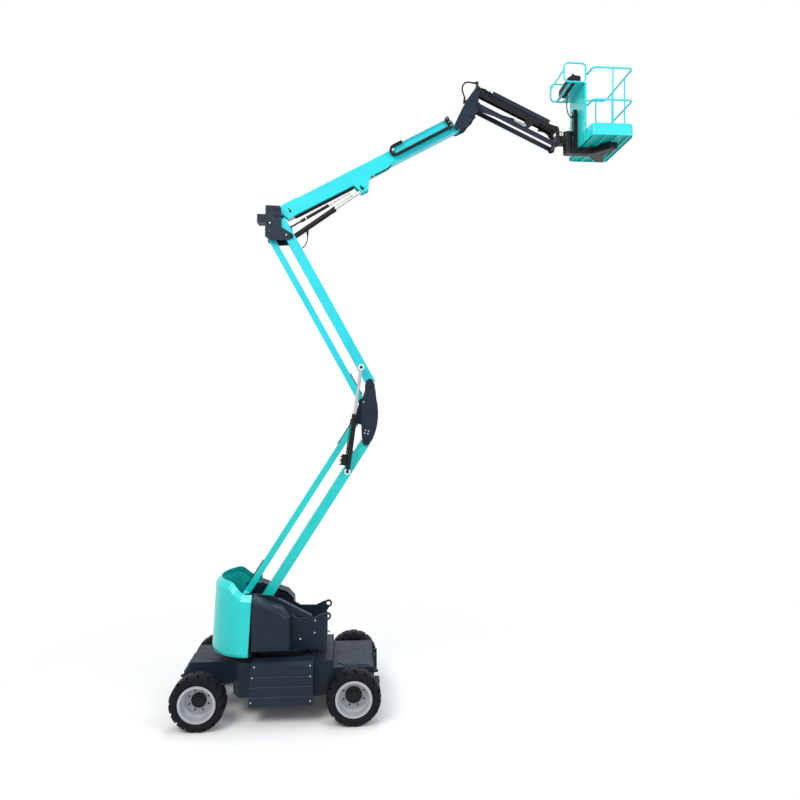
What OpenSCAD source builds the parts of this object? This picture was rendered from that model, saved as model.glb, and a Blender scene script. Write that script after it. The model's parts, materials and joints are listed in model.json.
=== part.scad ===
// Articulating boom lift on four wheels, in its raised working pose.
// X points from the tail to the platform, Y to the far side, Z up.
// All points in the side view are pairs of X and Z, in millimetres.

/* [Chassis] */
// Distance between the two axles
wheelbase = 2400; // [2250:10:2600]
// Width over the tyres
overall_w = 2040; // [1980:10:2200]
// Height of the frame's underside over the ground
frame_clearance = 345; // [300:5:360]
// Half width of the frame between the wheels
frame_half_w = 610; // [560:5:640]
// Height of the frame's top under the slew ring
frame_top_z = 900; // [880:5:915]
// Half width of the steered end, free of the turning wheels
steer_end_half_w = 390; // [340:5:400]
// Length of the side boxes
side_box_l = 1000; // [800:10:1050]
// Depth of the side boxes
side_box_d = 285; // [200:5:300]
// Height of the driven end's deck
deck_z = 765; // [740:5:790]

/* [Wheels] */
// Outer radius of the tyres, at the lug tips
tyre_r = 427.5; // [400:2.5:440]
// Width of the tyres
tyre_w = 300; // [260:5:320]
// Radius of the rim's bead seat
rim_r = 262; // [230:2:280]
// Height of the rim flange over the bead seat
flange_h = 26; // [15:1:35]
// Radius of the driven wheels' hubs
drive_hub_r = 130; // [100:5:145]
// Radius of the steered wheels' hubs
steer_hub_r = 115; // [90:5:130]
// Radius of the wheel spindles
spindle_r = 45; // [38:1:55]
// Radius of the king pins
king_pin_r = 30; // [24:1:36]
// Distance of the king pins from the middle plane
king_pin_y = 600; // [585:5:610]
// Length of the steering arms
steer_arm_l = 190; // [160:5:220]

/* [Turntable] */
// Outer radius of the slew ring
slew_r = 480; // [420:10:520]
// Height of the slew ring
slew_h = 100; // [90:5:120]
// Distance between the mast plates' outer faces
mast_w = 740; // [700:10:780]
// Thickness of the mast plates
mast_t = 30; // [20:1:40]
// Radius of the lifting eyes' holes
lift_eye_r = 35; // [28:1:40]
// Length of the round tail hood behind its front edge
hood_l = 675; // [660:5:700]
// Half width of the hood
hood_half_w = 735; // [725:5:760]
// Wall of the hood
hood_t = 22; // [14:1:28]
// Height of the hood's top edge at the tail
hood_top_z = 2175; // [2120:5:2250]
// Half width over the side covers
cover_half_w = 700; // [660:5:720]

/* [Riser] */
// Height of the lower arm's pivot
lower_pivot_z = 1501; // [1480:1:1520]
// Length of the lower arm between its pins
lower_arm_l = 3435; // [3300:5:3600]
// Elevation of the lower arm in the pose shown
lower_arm_a = 57.4; // [50:0.1:62]
// Height of the lower arm's section
lower_arm_h = 160; // [140:2:170]
// Width of the lower arm
lower_arm_w = 300; // [260:5:320]
// Length of the upper arm between its pins
upper_arm_l = 3236; // [3100:5:3400]
// Elevation of the upper arm in the pose shown
upper_arm_a = 61; // [55:0.1:66]
// Height of the upper arm's section
upper_arm_h = 155; // [140:1:160]
// Height of the link bars' sections
link_h = 105; // [90:1:112]
// Wall of the arm tubes
arm_wall = 8; // [5:0.5:12]
// Radius of the main pins
main_pin_r = 35; // [28:1:38]
// Radius of the link pins
link_pin_r = 30; // [24:1:34]
// Radius of the riser cylinders' barrels
riser_barrel_r = 42; // [36:1:46]
// Radius of the riser cylinders' rods
riser_rod_r = 24; // [18:1:28]

/* [Boom] */
// Elevation of the boom in the pose shown
boom_a = 28.5; // [24:0.1:33]
// Length of the outer boom from its pivot
boom_l = 2195; // [2100:5:2300]
// Height of the outer boom's section
boom_h = 240; // [236:1:250]
// Width of the outer boom
boom_w = 190; // [184:1:192]
// Wall of the outer boom
boom_wall = 8; // [5:0.5:9]
// Gap between the outer and the inner boom, filled by the wear pads
pad_gap = 9; // [7:0.5:12]
// Length of the inner boom that stands out in the pose shown
fly_out = 1260; // [1200:5:1350]
// Radius of the lift cylinder's barrel
lift_barrel_r = 44; // [38:1:46]
// Radius of the lift cylinder's rod
lift_rod_r = 30; // [24:1:34]
// Radius of the level cylinder's barrel
level_barrel_r = 26; // [22:1:27]
// Radius of the level cylinder's rod
level_rod_r = 14; // [10:1:16]

/* [Jib] */
// Length of the jib between its pins
jib_l = 1508; // [1400:5:1600]
// Slope of the jib in the pose shown
jib_a = -25; // [-30:0.1:-20]
// Height of the jib's upper arm
jib_arm_h = 112; // [100:1:116]
// Radius of the jib pins
jib_pin_r = 22; // [18:1:26]
// Radius of the jib cylinder's barrel
jib_barrel_r = 32; // [28:1:34]
// Radius of the jib cylinder's rod
jib_rod_r = 18; // [14:1:24]

/* [Platform] */
// Width of the platform across the machine
platform_w = 1250; // [1100:10:1400]
// Depth of the platform along the machine
platform_d = 732; // [650:2:850]
// Height of the guard rail over the floor's underside
platform_h = 1153; // [1120:1:1200]
// Height of the mid rail over the floor's underside
mid_rail_h = 600; // [500:5:650]
// Height of the toe board over the floor's underside
toe_board_h = 200; // [150:5:220]
// Radius of the guard rail tubes
rail_r = 16; // [13:1:19]
// Radius of the platform's corners
corner_r = 100; // [70:5:130]
// Depth of the console guard's loops
guard_d = 373; // [340:1:380]

/* [Hidden] */
$fn = 48;

// Colours of the finishes
teal = [0.12, 0.78, 0.80];
navy = [0.14, 0.19, 0.25];
black = [0.07, 0.08, 0.09];
silver = [0.72, 0.74, 0.76];

// Clearances: a pin in its bore, two faces that slide, a piece on its seat and an open gap
run = 0.05;
slide = 2;
seat = 0.3;
gap = 5;

// Wheel places
axle_x = wheelbase / 2;
wheel_y = overall_w / 2 - tyre_w / 2;
axle_half_h = 70;
axle_top_z = tyre_r + axle_half_h;
gear_r = 150;
gear_y0 = -220;
gear_y1 = 40;
boss_r = 62;
ear_t = 28;
boss_z0 = tyre_r - axle_half_h;
boss_z1 = axle_top_z;
bead_y = 118;
spindle_end_y = wheel_y - 65;
tyre_sides = 32;
lug_count = 16;
lug_gap = 42;
lug_l = 105;
lug_h = 20;

// Frame: middle block, ends, tie-down lugs and side boxes
frame_x0 = -740;
frame_x1 = 860;
frame_chamfer = [120, 170];
frame_end_x = axle_x + 330;
steer_end_z = deck_z - 45;
tie_lug_t = 24;
tie_lug_r = 44;
tie_hole_r = 24;
tie_lug_out = 40;
tie_lug_z = axle_top_z + 80;
tie_tail_y = 250;
tie_front_y = 300;
side_box_x = -440;
side_box_lean = 50;
side_box_z0 = frame_clearance - 28;
side_box_face_z = frame_top_z + 40;
side_box_z1 = frame_top_z + 80;
groove_d = 14;

// Turntable levels
ring_bottom_z = frame_top_z;
table_z = ring_bottom_z + slew_h + seat;
table_t = 40;
table_top_z = table_z + table_t;
mast_in = mast_w / 2 - mast_t;
hood_x = -430;
hood_bottom_z = table_z + gap;
hood_front_z = hood_top_z - 185;
hood_lean = 0.06;
hood_back = 40;
hood_lip = [68, 92];
hood_flange_w = 120;
tail_r = hood_l - 55;
tray_z = table_top_z + 60;
tray_t = 35;
mast_front_x = 755;
lift_eye_at = [770, 1535];
cover_bevel = 50;
cover_wall = 12;

// Riser pins
lower_pivot = [-437, lower_pivot_z];
lower_link_off = [-150, 357];
upper_link_off = [-70, 668];
upper_main_off = [80, 942];
lower_link_foot = lower_pivot + lower_link_off;
mast_rear_x = lower_link_foot[0] - 62;
knuckle_main = at(lower_pivot, lower_arm_a, lower_arm_l);
knuckle_link = knuckle_main + lower_link_off;
upper_link_foot = knuckle_main + upper_link_off;
upper_arm_foot = knuckle_main + upper_main_off;
upper_dir_a = 180 - upper_arm_a;
head_link = at(upper_link_foot, upper_dir_a, upper_arm_l);
head_main = at(upper_arm_foot, upper_dir_a, upper_arm_l);
arm_boss_r = 74;
link_boss_r = 54;
arm_off = -25;
knuckle_in = 112;
knuckle_t = 18;
crescent_r = 1040;
crescent_c = [knuckle_main[0] - 840, (knuckle_main[1] + upper_arm_foot[1]) / 2];

// Riser cylinder pins
riser_base = at(lower_pivot, lower_arm_a, lower_arm_l - 585);
riser_eye = at(upper_arm_foot, upper_dir_a, 345);
riser_y = 290;
riser_pin_r = 25;
riser_eye_w = 50;
riser_barrel_l = 960;
riser_rod_in = 830;

// Head pins
boom_pivot = head_main + [-5, 111];
lift_base = head_link + [375, -60];
level_base = head_link + [355, 110];
lift_pin_r = 25;
level_pin_r = 18;

// Widths of the nested arms, from the middle plane outwards
lift_half_w = 45;
head_inner_in = 47;
head_inner_t = 13;
link_in = 63;
link_out = 100;
arm_in = 105;
arm_out = 185;
plate_in = 192;
plate_t = 25;
plate_out = plate_in + plate_t;

// Boom section, measured from the pivot
boom_top_n = 38;
boom_bottom_n = boom_top_n - boom_h;
boom_rear_s = 100;
boom_lug_t = 20;
boom_mid_n = (boom_top_n + boom_bottom_n) / 2;
fly_h = boom_h - 2 * boom_wall - 2 * pad_gap;
fly_w = boom_w - 2 * boom_wall - 2 * pad_gap;
fly_tip_s = boom_l + fly_out;
fly_rear_s = 1260;
fly_travel = 1100;
fly_wall = 7;
lift_eye_s = 1457;
lift_eye_n = boom_bottom_n - 120;
lift_eye_pt = at(boom_pivot, boom_a, lift_eye_s, lift_eye_n);
level_eye = at(boom_pivot, boom_a, 1215, boom_bottom_n - 88);
lift_barrel_l = 905;
lift_rod_in = 470;
level_y = -74;
level_eye_w = 24;
level_neck_l = 215;
level_barrel_l = 570;
level_rod_in = 420;
track_in = 126;
track_w = 62;
track_band = 40;
track_low_n = -95;
track_high_n = 60;
track_s0 = boom_l + 55;
track_s1 = fly_tip_s - 130;
track_tube_s = track_s0 + 170;
track_tube_r = 13;
track_plate_out = track_in - gap;
track_plate_t = 10;

// Jib pins
tip_pivot = at(boom_pivot, boom_a, fly_tip_s - 40, boom_mid_n - 50);
jib_foot = tip_pivot + [346, 638];
jib_link_off = [0, -266];
jib_link_foot = jib_foot + jib_link_off;
jib_head = at(jib_foot, jib_a, jib_l);
jib_link_head = jib_head + jib_link_off;
jib_eye = at(jib_foot, jib_a, 1050, -95);
jib_arm_off = 12;
jib_wall = 6;
jib_eye_r = 28;
jib_arm_half_w = 48;
jib_link_in = 108;
jib_link_out = 136;
jib_plate_in = 142;
jib_plate_t = 16;
jib_plate_out = jib_plate_in + jib_plate_t;
jib_link_h = 74;
jib_barrel_l = 690;
jib_rod_in = 235;

// Platform places
rotor_x = jib_head[0] + 258;
rotor_r = 80;
rotor_z0 = jib_link_head[1] - 90;
rotor_z1 = jib_head[1] - 20;
platform_x = rotor_x + 206;
platform_x1 = platform_x + platform_d;
platform_z = jib_link_head[1] - 5;
rail_z = platform_z + platform_h - rail_r;
post_x = rotor_x + rotor_r + 10;
guard_y = 380;
guard_h = 320;
guard_over = 170;
guard_r = 14;
toe_t = 6;
floor_t = 6;
floor_rib_h = 30;
floor_top_z = platform_z + floor_rib_h + floor_t;
rail_inset = toe_t + seat + rail_r;
rail_x0 = platform_x + rail_inset;
rail_x1 = platform_x1 - rail_inset;
rail_y = platform_w / 2 - rail_inset;
post_r = rail_r - 3;
collar_r = rail_r + 4;
gate_x0 = platform_x + 130;
gate_x1 = platform_x + 535;
// Posts of the guard rail: place in plan and the way out of the platform
rail_posts = [[(rail_x0 + rail_x1) / 2, -rail_y, -90], [gate_x0, rail_y, 90], [gate_x1, rail_y, 90],
    [rail_x1, -rail_y * 0.45, 0], [rail_x1, rail_y * 0.45, 0], [rail_x0, rail_y - 150, 180]];
guard_x1 = platform_x - 20;
guard_x0 = guard_x1 - guard_d;
guard_top_z = rail_z + guard_over;
guard_z0 = guard_top_z - guard_h;
console_x = guard_x0 + 105;
post_top_z = platform_z + 660;

// Routes of the free hoses in the side view, each from its own origin, with its Y and radius
hose_jib_o = jib_foot;
hose_jib_route = [[-230, -190], [-230, -135], [-250, -70], [-268, 0], [-255, 70], [-212, 118],
    [-150, 130], [-90, 120], [-30, 120]];
hose_jib_y = -120;
hose_jib_r = 13;
hose_lift_o = lift_base;
hose_lift_route = [[270, 80], [270, 20], [258, -50], [222, -115], [165, -160], [100, -175],
    [45, -162], [0, -120], [0, -75]];
hose_lift_y = 0;
hose_lift_r = 8;
console_cable_o = [console_x + 60, guard_z0 - 22];
console_cable_route = [[0, 0], [0, -100], [-6, -200], [-4, -290], [14, -365], [40, -410],
    [64, -430], [90, -430]];
console_cable_y = -40;
console_cable_r = 9;

// The whole machine is moved so that its box is centred on the origin
x_left = -axle_x - tyre_r;
x_mid = (x_left + platform_x1) / 2;

// Point at distance s along and n across the direction a, from point o
function at(o, a, s, n = 0) = o + [s * cos(a) - n * sin(a), s * sin(a) + n * cos(a)];
function angle_of(p, q) = atan2(q[1] - p[1], q[0] - p[0]);

module placed() {
    translate([-x_mid, 0, 0]) children();
}

// Side-view outline between two Y values
module flat(y0, y1) {
    translate([0, y1, 0]) rotate([90, 0, 0]) linear_extrude(y1 - y0) children();
}

// Side-view outline on both sides of the middle plane
module both(y0, y1) {
    flat(y0, y1) children();
    flat(-y1, -y0) children();
}

// Round bar along Y
module pin(p, r, y0, y1) {
    translate([p[0], y1, p[1]]) rotate([90, 0, 0]) cylinder(h = y1 - y0, r = r);
}

// Round bar along Y, centred on the middle plane
module cross_pin(p, r, half_w) {
    pin(p, r, -half_w, half_w);
}

// Disc in the side view
module disc(p, r) {
    translate(p) circle(r);
}

// Straight strip in the side view from p to q
module strip(p, q, h, off = 0, ext0 = 0, ext1 = 0) {
    l = norm(q - p);
    translate(p) rotate(angle_of(p, q)) translate([-ext0, off - h / 2]) square([l + ext0 + ext1, h]);
}

// Round bar in the side view's plane, from s0 to s1 along p to q
module rod(p, q, r, y, s0, s1) {
    a = angle_of(p, q);
    translate([p[0], y, p[1]]) rotate([0, 90 - a, 0]) translate([0, 0, s0]) cylinder(h = s1 - s0, r = r);
}

// Rectangular tube in the side view from p to q, open at both ends
module box_tube(p, q, h, y0, y1, wall, off = 0, cut0 = 0, cut1 = 0) {
    difference() {
        flat(y0, y1) strip(p, q, h, off, -cut0, -cut1);
        flat(y0 + wall, y1 - wall) strip(p, q, h - 2 * wall, off, gap - cut0, gap - cut1);
    }
}

// Chassis

module chassis_frame() {
    corner_x = frame_x0 + frame_chamfer[0];
    corner_y = frame_half_w - frame_chamfer[1];
    color(navy) placed() difference() {
        union() {
            translate([0, 0, frame_clearance]) linear_extrude(frame_top_z - frame_clearance)
                polygon([[frame_x0, -corner_y], [corner_x, -frame_half_w], [frame_x1, -frame_half_w],
                    [frame_x1, frame_half_w], [corner_x, frame_half_w], [frame_x0, corner_y]]);
            translate([-frame_end_x, -steer_end_half_w, axle_top_z])
                cube([frame_end_x + frame_x0, 2 * steer_end_half_w, steer_end_z - axle_top_z]);
            translate([frame_x1, -frame_half_w, axle_top_z])
                cube([frame_end_x - frame_x1, 2 * frame_half_w, deck_z - axle_top_z]);
            for (side = [-1, 1]) {
                tie_lug(-frame_end_x, -1, side * tie_tail_y);
                tie_lug(frame_end_x, 1, side * tie_front_y);
            }
            bumpers();
            tow_loop();
        }
        for (side = [-1, 1]) {
            tie_hole(-frame_end_x, -1, side * tie_tail_y);
            tie_hole(frame_end_x, 1, side * tie_front_y);
        }
        pin([axle_x, tyre_r], gear_r + gap, gear_y0 - gap, gear_y1 + gap);
    }
}

// Blocks under the driven end
module bumpers() {
    w = 170;
    h = 230;
    for (side = [0, 1]) mirror([0, side, 0])
        translate([frame_end_x - 60, frame_half_w - w - 10, axle_top_z + 60 - h]) cube([150, w, h]);
}

// Upright loop on the driven end
module tow_loop() {
    t = 24;
    w = 80;
    h = 250;
    rim_w = 27;
    z = axle_top_z + 100;
    flat(-t / 2, t / 2) difference() {
        translate([frame_end_x - 10, z]) square([w, h]);
        translate([frame_end_x - 10 + rim_w, z + rim_w]) square([w - 2 * rim_w, h - 2 * rim_w]);
    }
}

// Flat ear that stands out of the frame's end, and its upright hole
module tie_lug(x, dir, y) {
    root = 20;
    x0 = dir < 0 ? x - tie_lug_out : x - root;
    translate([0, 0, tie_lug_z]) linear_extrude(tie_lug_t) {
        translate([x + dir * tie_lug_out, y]) circle(tie_lug_r);
        translate([x0, y - tie_lug_r]) square([tie_lug_out + root, 2 * tie_lug_r]);
    }
}

module tie_hole(x, dir, y) {
    translate([x + dir * tie_lug_out, y, tie_lug_z - gap])
        cylinder(h = tie_lug_t + 2 * gap, r = tie_hole_r);
}

// Ribbed boxes on both sides between the wheels
module side_boxes() {
    y0 = frame_half_w;
    y1 = frame_half_w + side_box_d;
    x1 = side_box_x + side_box_l;
    bevel = 90;
    pitch = (side_box_face_z - side_box_z0) / 4;
    color(navy) placed() for (side = [0, 1]) mirror([0, side, 0]) difference() {
        flat(y0, y1) polygon([[side_box_x, side_box_z0], [x1, side_box_z0], [x1, side_box_z1],
            [side_box_x + side_box_lean, side_box_z1]]);
        side_box_cut() polygon([[y1, side_box_face_z], [y1 + gap, side_box_face_z],
            [y1 + gap, side_box_z1 + gap], [y1 - bevel, side_box_z1 + gap], [y1 - bevel, side_box_z1]]);
        for (i = [1 : 3]) side_box_cut() polygon([[y1 + 1, side_box_z0 + i * pitch - groove_d],
            [y1 - groove_d, side_box_z0 + i * pitch], [y1 + 1, side_box_z0 + i * pitch + groove_d]]);
    }
}

// Cut along the whole length of a side box
module side_box_cut() {
    translate([side_box_x - gap, 0, 0]) rotate([90, 0, 90])
        linear_extrude(side_box_l + 2 * gap) children();
}

// Plate over the driven end with a raised panel
module deck_cover() {
    x0 = 870;
    x1 = frame_end_x - 20;
    w = frame_half_w - 10;
    t = 18;
    bevel = 130;
    color(navy) placed() {
        translate([x0, -w, deck_z]) cube([x1 - x0, 2 * w, t]);
        translate([0, 0, deck_z + t]) linear_extrude(12)
            polygon([[x0 + 60, -w + 60 + bevel], [x0 + 60 + bevel, -w + 60], [x1 - 60, -w + 60],
                [x1 - 60, w - 60], [x0 + 60 + bevel, w - 60], [x0 + 60, w - 60 - bevel]]);
    }
}

// Sloped cover over the steered end
module steer_cover() {
    x0 = -axle_x - 300;
    x1 = frame_x0 - gap;
    z1 = frame_top_z - 50;
    color(navy) placed() flat(-steer_end_half_w, steer_end_half_w)
        polygon([[x0, steer_end_z], [x0 + 75, z1], [x1, z1], [x1, steer_end_z]]);
}

module slew_ring() {
    color(black) placed() translate([0, 0, ring_bottom_z]) difference() {
        cylinder(h = slew_h, r = slew_r);
        translate([0, 0, -gap]) cylinder(h = slew_h + 2 * gap, r = slew_r - 110);
    }
}

// Axles, knuckles and steering

module steer_axle() {
    color(black) placed() difference() {
        union() {
            translate([-axle_x - 55, -king_pin_y, boss_z0]) cube([110, 2 * king_pin_y, 2 * axle_half_h]);
            for (side = [-1, 1]) translate([-axle_x, side * king_pin_y, boss_z0])
                cylinder(h = 2 * axle_half_h, r = boss_r);
        }
        for (side = [-1, 1]) translate([-axle_x, side * king_pin_y, boss_z0 - gap])
            cylinder(h = 2 * axle_half_h + 2 * gap, r = king_pin_r + run);
    }
}

// Knuckle with king pin, ears round the axle's boss, wheel spindle and steering arm
module steer_knuckle(side) {
    upright_y = king_pin_y + boss_r + 10;
    upright_t = 28;
    ear_z0 = boss_z0 - slide - ear_t;
    ear_z1 = boss_z1 + slide;
    color(black) placed() mirror([0, side < 0 ? 1 : 0, 0]) {
        translate([-axle_x, king_pin_y, ear_z0])
            cylinder(h = ear_z1 + ear_t - ear_z0, r = king_pin_r);
        for (z = [ear_z0, ear_z1]) translate([-axle_x, king_pin_y, z]) {
            cylinder(h = ear_t, r = boss_r);
            translate([-55, 0, 0]) cube([110, upright_y + upright_t - king_pin_y, ear_t]);
        }
        translate([-axle_x - 55, upright_y, ear_z0]) cube([110, upright_t, ear_z1 + ear_t - ear_z0]);
        pin([-axle_x, tyre_r], spindle_r, upright_y, spindle_end_y);
        translate([-axle_x, king_pin_y - 25, ear_z0]) cube([steer_arm_l, 50, ear_t]);
        translate([-axle_x + steer_arm_l, king_pin_y, ear_z0]) cylinder(h = ear_t, r = 30);
        translate([-axle_x + steer_arm_l, king_pin_y, ear_z0 - 34]) cylinder(h = 34, r = 12);
    }
}

module steer_knuckle_near() steer_knuckle(-1);
module steer_knuckle_far() steer_knuckle(1);

// Bar that ties the two steering arms
module tie_rod() {
    z = boss_z0 - slide - ear_t - slide;
    x = -axle_x + steer_arm_l;
    color(silver) placed() difference() {
        union() {
            translate([x, -king_pin_y, z - 16]) rotate([-90, 0, 0]) cylinder(h = 2 * king_pin_y, r = 15);
            for (side = [-1, 1]) translate([x, side * king_pin_y, z - 32]) cylinder(h = 32, r = 28);
        }
        for (side = [-1, 1]) translate([x, side * king_pin_y, z - 40]) cylinder(h = 50, r = 12 + run);
    }
}

module drive_axle() {
    flange_y = wheel_y - tyre_w / 2 - 45;
    color(black) placed() {
        translate([axle_x - 75, -flange_y, boss_z0]) cube([150, 2 * flange_y, 2 * axle_half_h]);
        pin([axle_x, tyre_r], gear_r, gear_y0, gear_y1);
        for (side = [0, 1]) mirror([0, side, 0]) {
            pin([axle_x, tyre_r], drive_hub_r, frame_half_w + gap, flange_y);
            pin([axle_x, tyre_r], spindle_r, flange_y, spindle_end_y);
        }
    }
}

// Tyre, a revolve with slanted grooves between its shoulder lugs
module tyre(x, y) {
    w = tyre_w / 2;
    in_r = (rim_r + seat) / cos(180 / tyre_sides);
    color(black) placed() translate([x, y, tyre_r]) rotate([90, 0, 0]) difference() {
        rotate_extrude($fn = tyre_sides)
            polygon([[in_r, -bead_y - 8], [rim_r + 40, -bead_y - 8], [rim_r + 70, -w + 4],
                [tyre_r - 70, -w], [tyre_r - 18, -w + 14], [tyre_r, -w + 50], [tyre_r, w - 50],
                [tyre_r - 18, w - 14], [tyre_r - 70, w], [rim_r + 70, w - 4], [rim_r + 40, bead_y + 8],
                [in_r, bead_y + 8]]);
        for (side = [0, 1], i = [0 : lug_count - 1]) mirror([0, 0, side])
            rotate([0, 0, (i + side / 2) * 360 / lug_count]) translate([tyre_r - lug_h, 0, w - lug_l])
                rotate([20, -18, 0]) translate([0, -lug_gap / 2, 0])
                    cube([4 * lug_h, lug_gap, 2 * lug_l]);
    }
}

// Wheel with its rim, deep dish and hub; the outer face looks to negative Y
module rim(x, y, hub_r, dir) {
    bead = bead_y + 8 + seat;
    lip = bead + 12;
    in_r = rim_r - 12;
    step_r = in_r - 40;
    cap_y = wheel_y - spindle_end_y;
    color(silver) placed() translate([x, y, tyre_r]) mirror([0, dir > 0 ? 1 : 0, 0])
        rotate([90, 0, 0]) rotate_extrude()
            polygon([[spindle_r + run, -lip + 12], [hub_r, -lip + 12], [hub_r, -cap_y - 24],
                [in_r, -cap_y - 24], [in_r, -lip], [rim_r + flange_h, -lip], [rim_r + flange_h, -bead],
                [rim_r, -bead], [rim_r, bead], [rim_r + flange_h, bead], [rim_r + flange_h, lip],
                [in_r, lip], [in_r, 20], [step_r, -20], [step_r, -cap_y], [hub_r, -cap_y],
                [hub_r, -cap_y + 22], [hub_r - 14, -cap_y + 32], [0, -cap_y + 32], [0, -cap_y + gap],
                [spindle_r + run, -cap_y + gap]]);
}

module tyre_steer_near() tyre(-axle_x, -wheel_y);
module tyre_steer_far() tyre(-axle_x, wheel_y);
module tyre_drive_near() tyre(axle_x, -wheel_y);
module tyre_drive_far() tyre(axle_x, wheel_y);
module rim_steer_near() rim(-axle_x, -wheel_y, steer_hub_r, -1);
module rim_steer_far() rim(-axle_x, wheel_y, steer_hub_r, 1);
module rim_drive_near() rim(axle_x, -wheel_y, drive_hub_r, -1);
module rim_drive_far() rim(axle_x, wheel_y, drive_hub_r, 1);

// Turntable

// Turning floor with the half-round tail under the hood, and the trays under the side covers
module turntable_base() {
    tray_l = 600;
    color(navy) placed() {
        translate([0, 0, table_z]) cylinder(h = table_t, r = slew_r + 20);
        translate([hood_x - 1, -mast_w / 2, table_z]) cube([mast_front_x - hood_x + 1, mast_w, table_t]);
        intersection() {
            translate([hood_x, 0, table_z]) cylinder(h = table_t, r = tail_r, $fn = 96);
            translate([hood_x - tail_r, -tail_r, 0]) cube([tail_r, 2 * tail_r, hood_top_z]);
        }
        for (side = [0, 1]) mirror([0, side, 0]) {
            translate([hood_x + gap, mast_w / 2, table_z]) cube([tray_l, 30, tray_z + tray_t - table_z]);
            translate([hood_x + gap, mast_w / 2, tray_z])
                cube([tray_l, cover_half_w - mast_w / 2 - 10, tray_t]);
        }
    }
}

// Side plates that carry the riser, with the lifting eyes, the two riser pins and the near flange
module mast_plates() {
    flange = [[-35, 1828], [512, 1540]];
    color(navy) placed() difference() {
        union() {
            both(mast_in, mast_w / 2) {
                polygon([[mast_rear_x, table_top_z], [mast_front_x, table_top_z], [mast_front_x, 1366],
                    [735, 1420], [740, 1560], [700, 1580], [552, 1512], [290, 1519], [130, 1610], [50, 1711],
                    [-138, 1775], [lower_link_foot[0] + 140, lower_link_foot[1] + 70],
                    [mast_rear_x, lower_link_foot[1] + 70]]);
                disc(lift_eye_at, lift_eye_r + 28);
                polygon([[700, 1570], [735, 1400], [790, 1480], [755, 1594]]);
            }
            flat(-mast_w / 2, -mast_in) polygon([[552, 1500], flange[1], flange[0], [-120, 1889],
                [lower_link_foot[0] + 140, lower_link_foot[1] + 70], [-138, 1700], [130, 1600]]);
            flat(-mast_w / 2, -mast_w / 2 + 100) strip(flange[0], flange[1], 16);
            cross_pin(lower_pivot, main_pin_r, mast_w / 2 + slide);
            cross_pin(lower_link_foot, link_pin_r, mast_w / 2 + slide);
            translate([420, -mast_in, table_top_z]) cube([20, 2 * mast_in, 200]);
        }
        cross_pin(lift_eye_at, lift_eye_r, mast_w);
    }
}

// Height of the hood's rim at turn a: low at both front edges, high round the tail
function eased(u) = let(v = max(0, min(1, u))) v * v * (3 - 2 * v);
function hood_rim(a) = hood_front_z + (hood_top_z - hood_front_z) * eased((sin(a) - 0.18) / 0.46);
function hood_point(a, in, z) = [hood_x - hood_back + hood_lean * (z - hood_bottom_z)
    - (hood_l - in) * sin(a), -(hood_half_w - in) * cos(a), z];
function hood_section(a) = let(z0 = hood_bottom_z, zf = table_top_z + seat, z1 = hood_rim(a),
    zl = z1 - hood_lip[1]) [[45, z0], [12, z0 + 22], [0, z0 + 65], [0, zl], [hood_lip[0], z1],
    [hood_lip[0] + hood_t, z1], [hood_t, zl - 12], [hood_t, zf + 10], [hood_t + hood_flange_w, zf + 10],
    [hood_t + hood_flange_w, zf], [hood_t + 10, zf], [hood_t + 45, z0]];

// Round tail hood, a leaning shell with a bevelled rim and a flange that lies on the turning floor
module hood() {
    step = 5;
    n = len(hood_section(0));
    turns = 180 / step;
    points = [for (i = [0 : turns], p = hood_section(i * step)) hood_point(i * step, p[0], p[1])];
    walls = [for (i = [0 : turns - 1], j = [0 : n - 1], k = [0, 1]) let(a = i * n + j,
        b = i * n + (j + 1) % n) k == 0 ? [a, a + n, b] : [b, a + n, b + n]];
    caps = [[for (j = [0 : n - 1]) j], [for (j = [n - 1 : -1 : 0]) turns * n + j]];
    color(teal) placed() polyhedron(points, concat(walls, caps));
}

// Cast block in the tail
module counterweight() {
    r = tail_r - 60;
    h = 560;
    x1 = mast_rear_x - gap;
    color(black) placed() intersection() {
        translate([hood_x, 0, table_top_z]) cylinder(h = h, r = r, $fn = 96);
        translate([x1 - 2 * r, -r, 0]) cube([2 * r, 2 * r, hood_top_z]);
    }
}

// Covers beside the mast, bevelled outside and open towards it
module side_covers() {
    color(navy) placed() for (side = [0, 1]) mirror([0, side, 0]) difference() {
        hull() {
            flat(mast_w / 2 + gap, cover_half_w - cover_bevel) cover_outline(0);
            flat(cover_half_w - 1, cover_half_w) cover_outline(cover_bevel);
        }
        flat(mast_w / 2 - gap, cover_half_w - cover_bevel - cover_wall)
            offset(delta = -cover_wall) cover_outline(0);
    }
}

// Side view of the covers, drawn in at the top and front by the bevel
module cover_outline(in) {
    x0 = hood_x + 3 * gap;
    z0 = tray_z + tray_t + seat;
    polygon([[x0, z0], [190 - in / 2, z0], [170 - in / 2, 1620 - in / 2], [60 - in / 2, 1745 - 1.4 * in],
        [x0, 1928 - in]]);
}

// Riser

module lower_arm() {
    half = lower_arm_w / 2;
    color(teal) placed() difference() {
        union() {
            box_tube(lower_pivot, knuckle_main, lower_arm_h, -half, half, arm_wall, 0, 30, 30);
            cross_pin(lower_pivot, arm_boss_r, mast_in - slide);
            cross_pin(knuckle_main, arm_boss_r, plate_in - slide);
            cross_pin(riser_base, riser_pin_r, riser_y + riser_eye_w / 2 + 12);
        }
        cross_pin(lower_pivot, main_pin_r + run, mast_w);
        cross_pin(knuckle_main, main_pin_r + run, mast_w);
    }
}

module lower_link() {
    color(teal) placed() difference() {
        union() {
            box_tube(lower_link_foot, knuckle_link, link_h, -link_out, link_out, arm_wall, 0, 20, 20);
            cross_pin(lower_link_foot, link_boss_r, mast_in - slide);
            cross_pin(knuckle_link, link_boss_r, knuckle_in - slide);
        }
        cross_pin(lower_link_foot, link_pin_r + run, mast_w);
        cross_pin(knuckle_link, link_pin_r + run, mast_w);
    }
}

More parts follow.
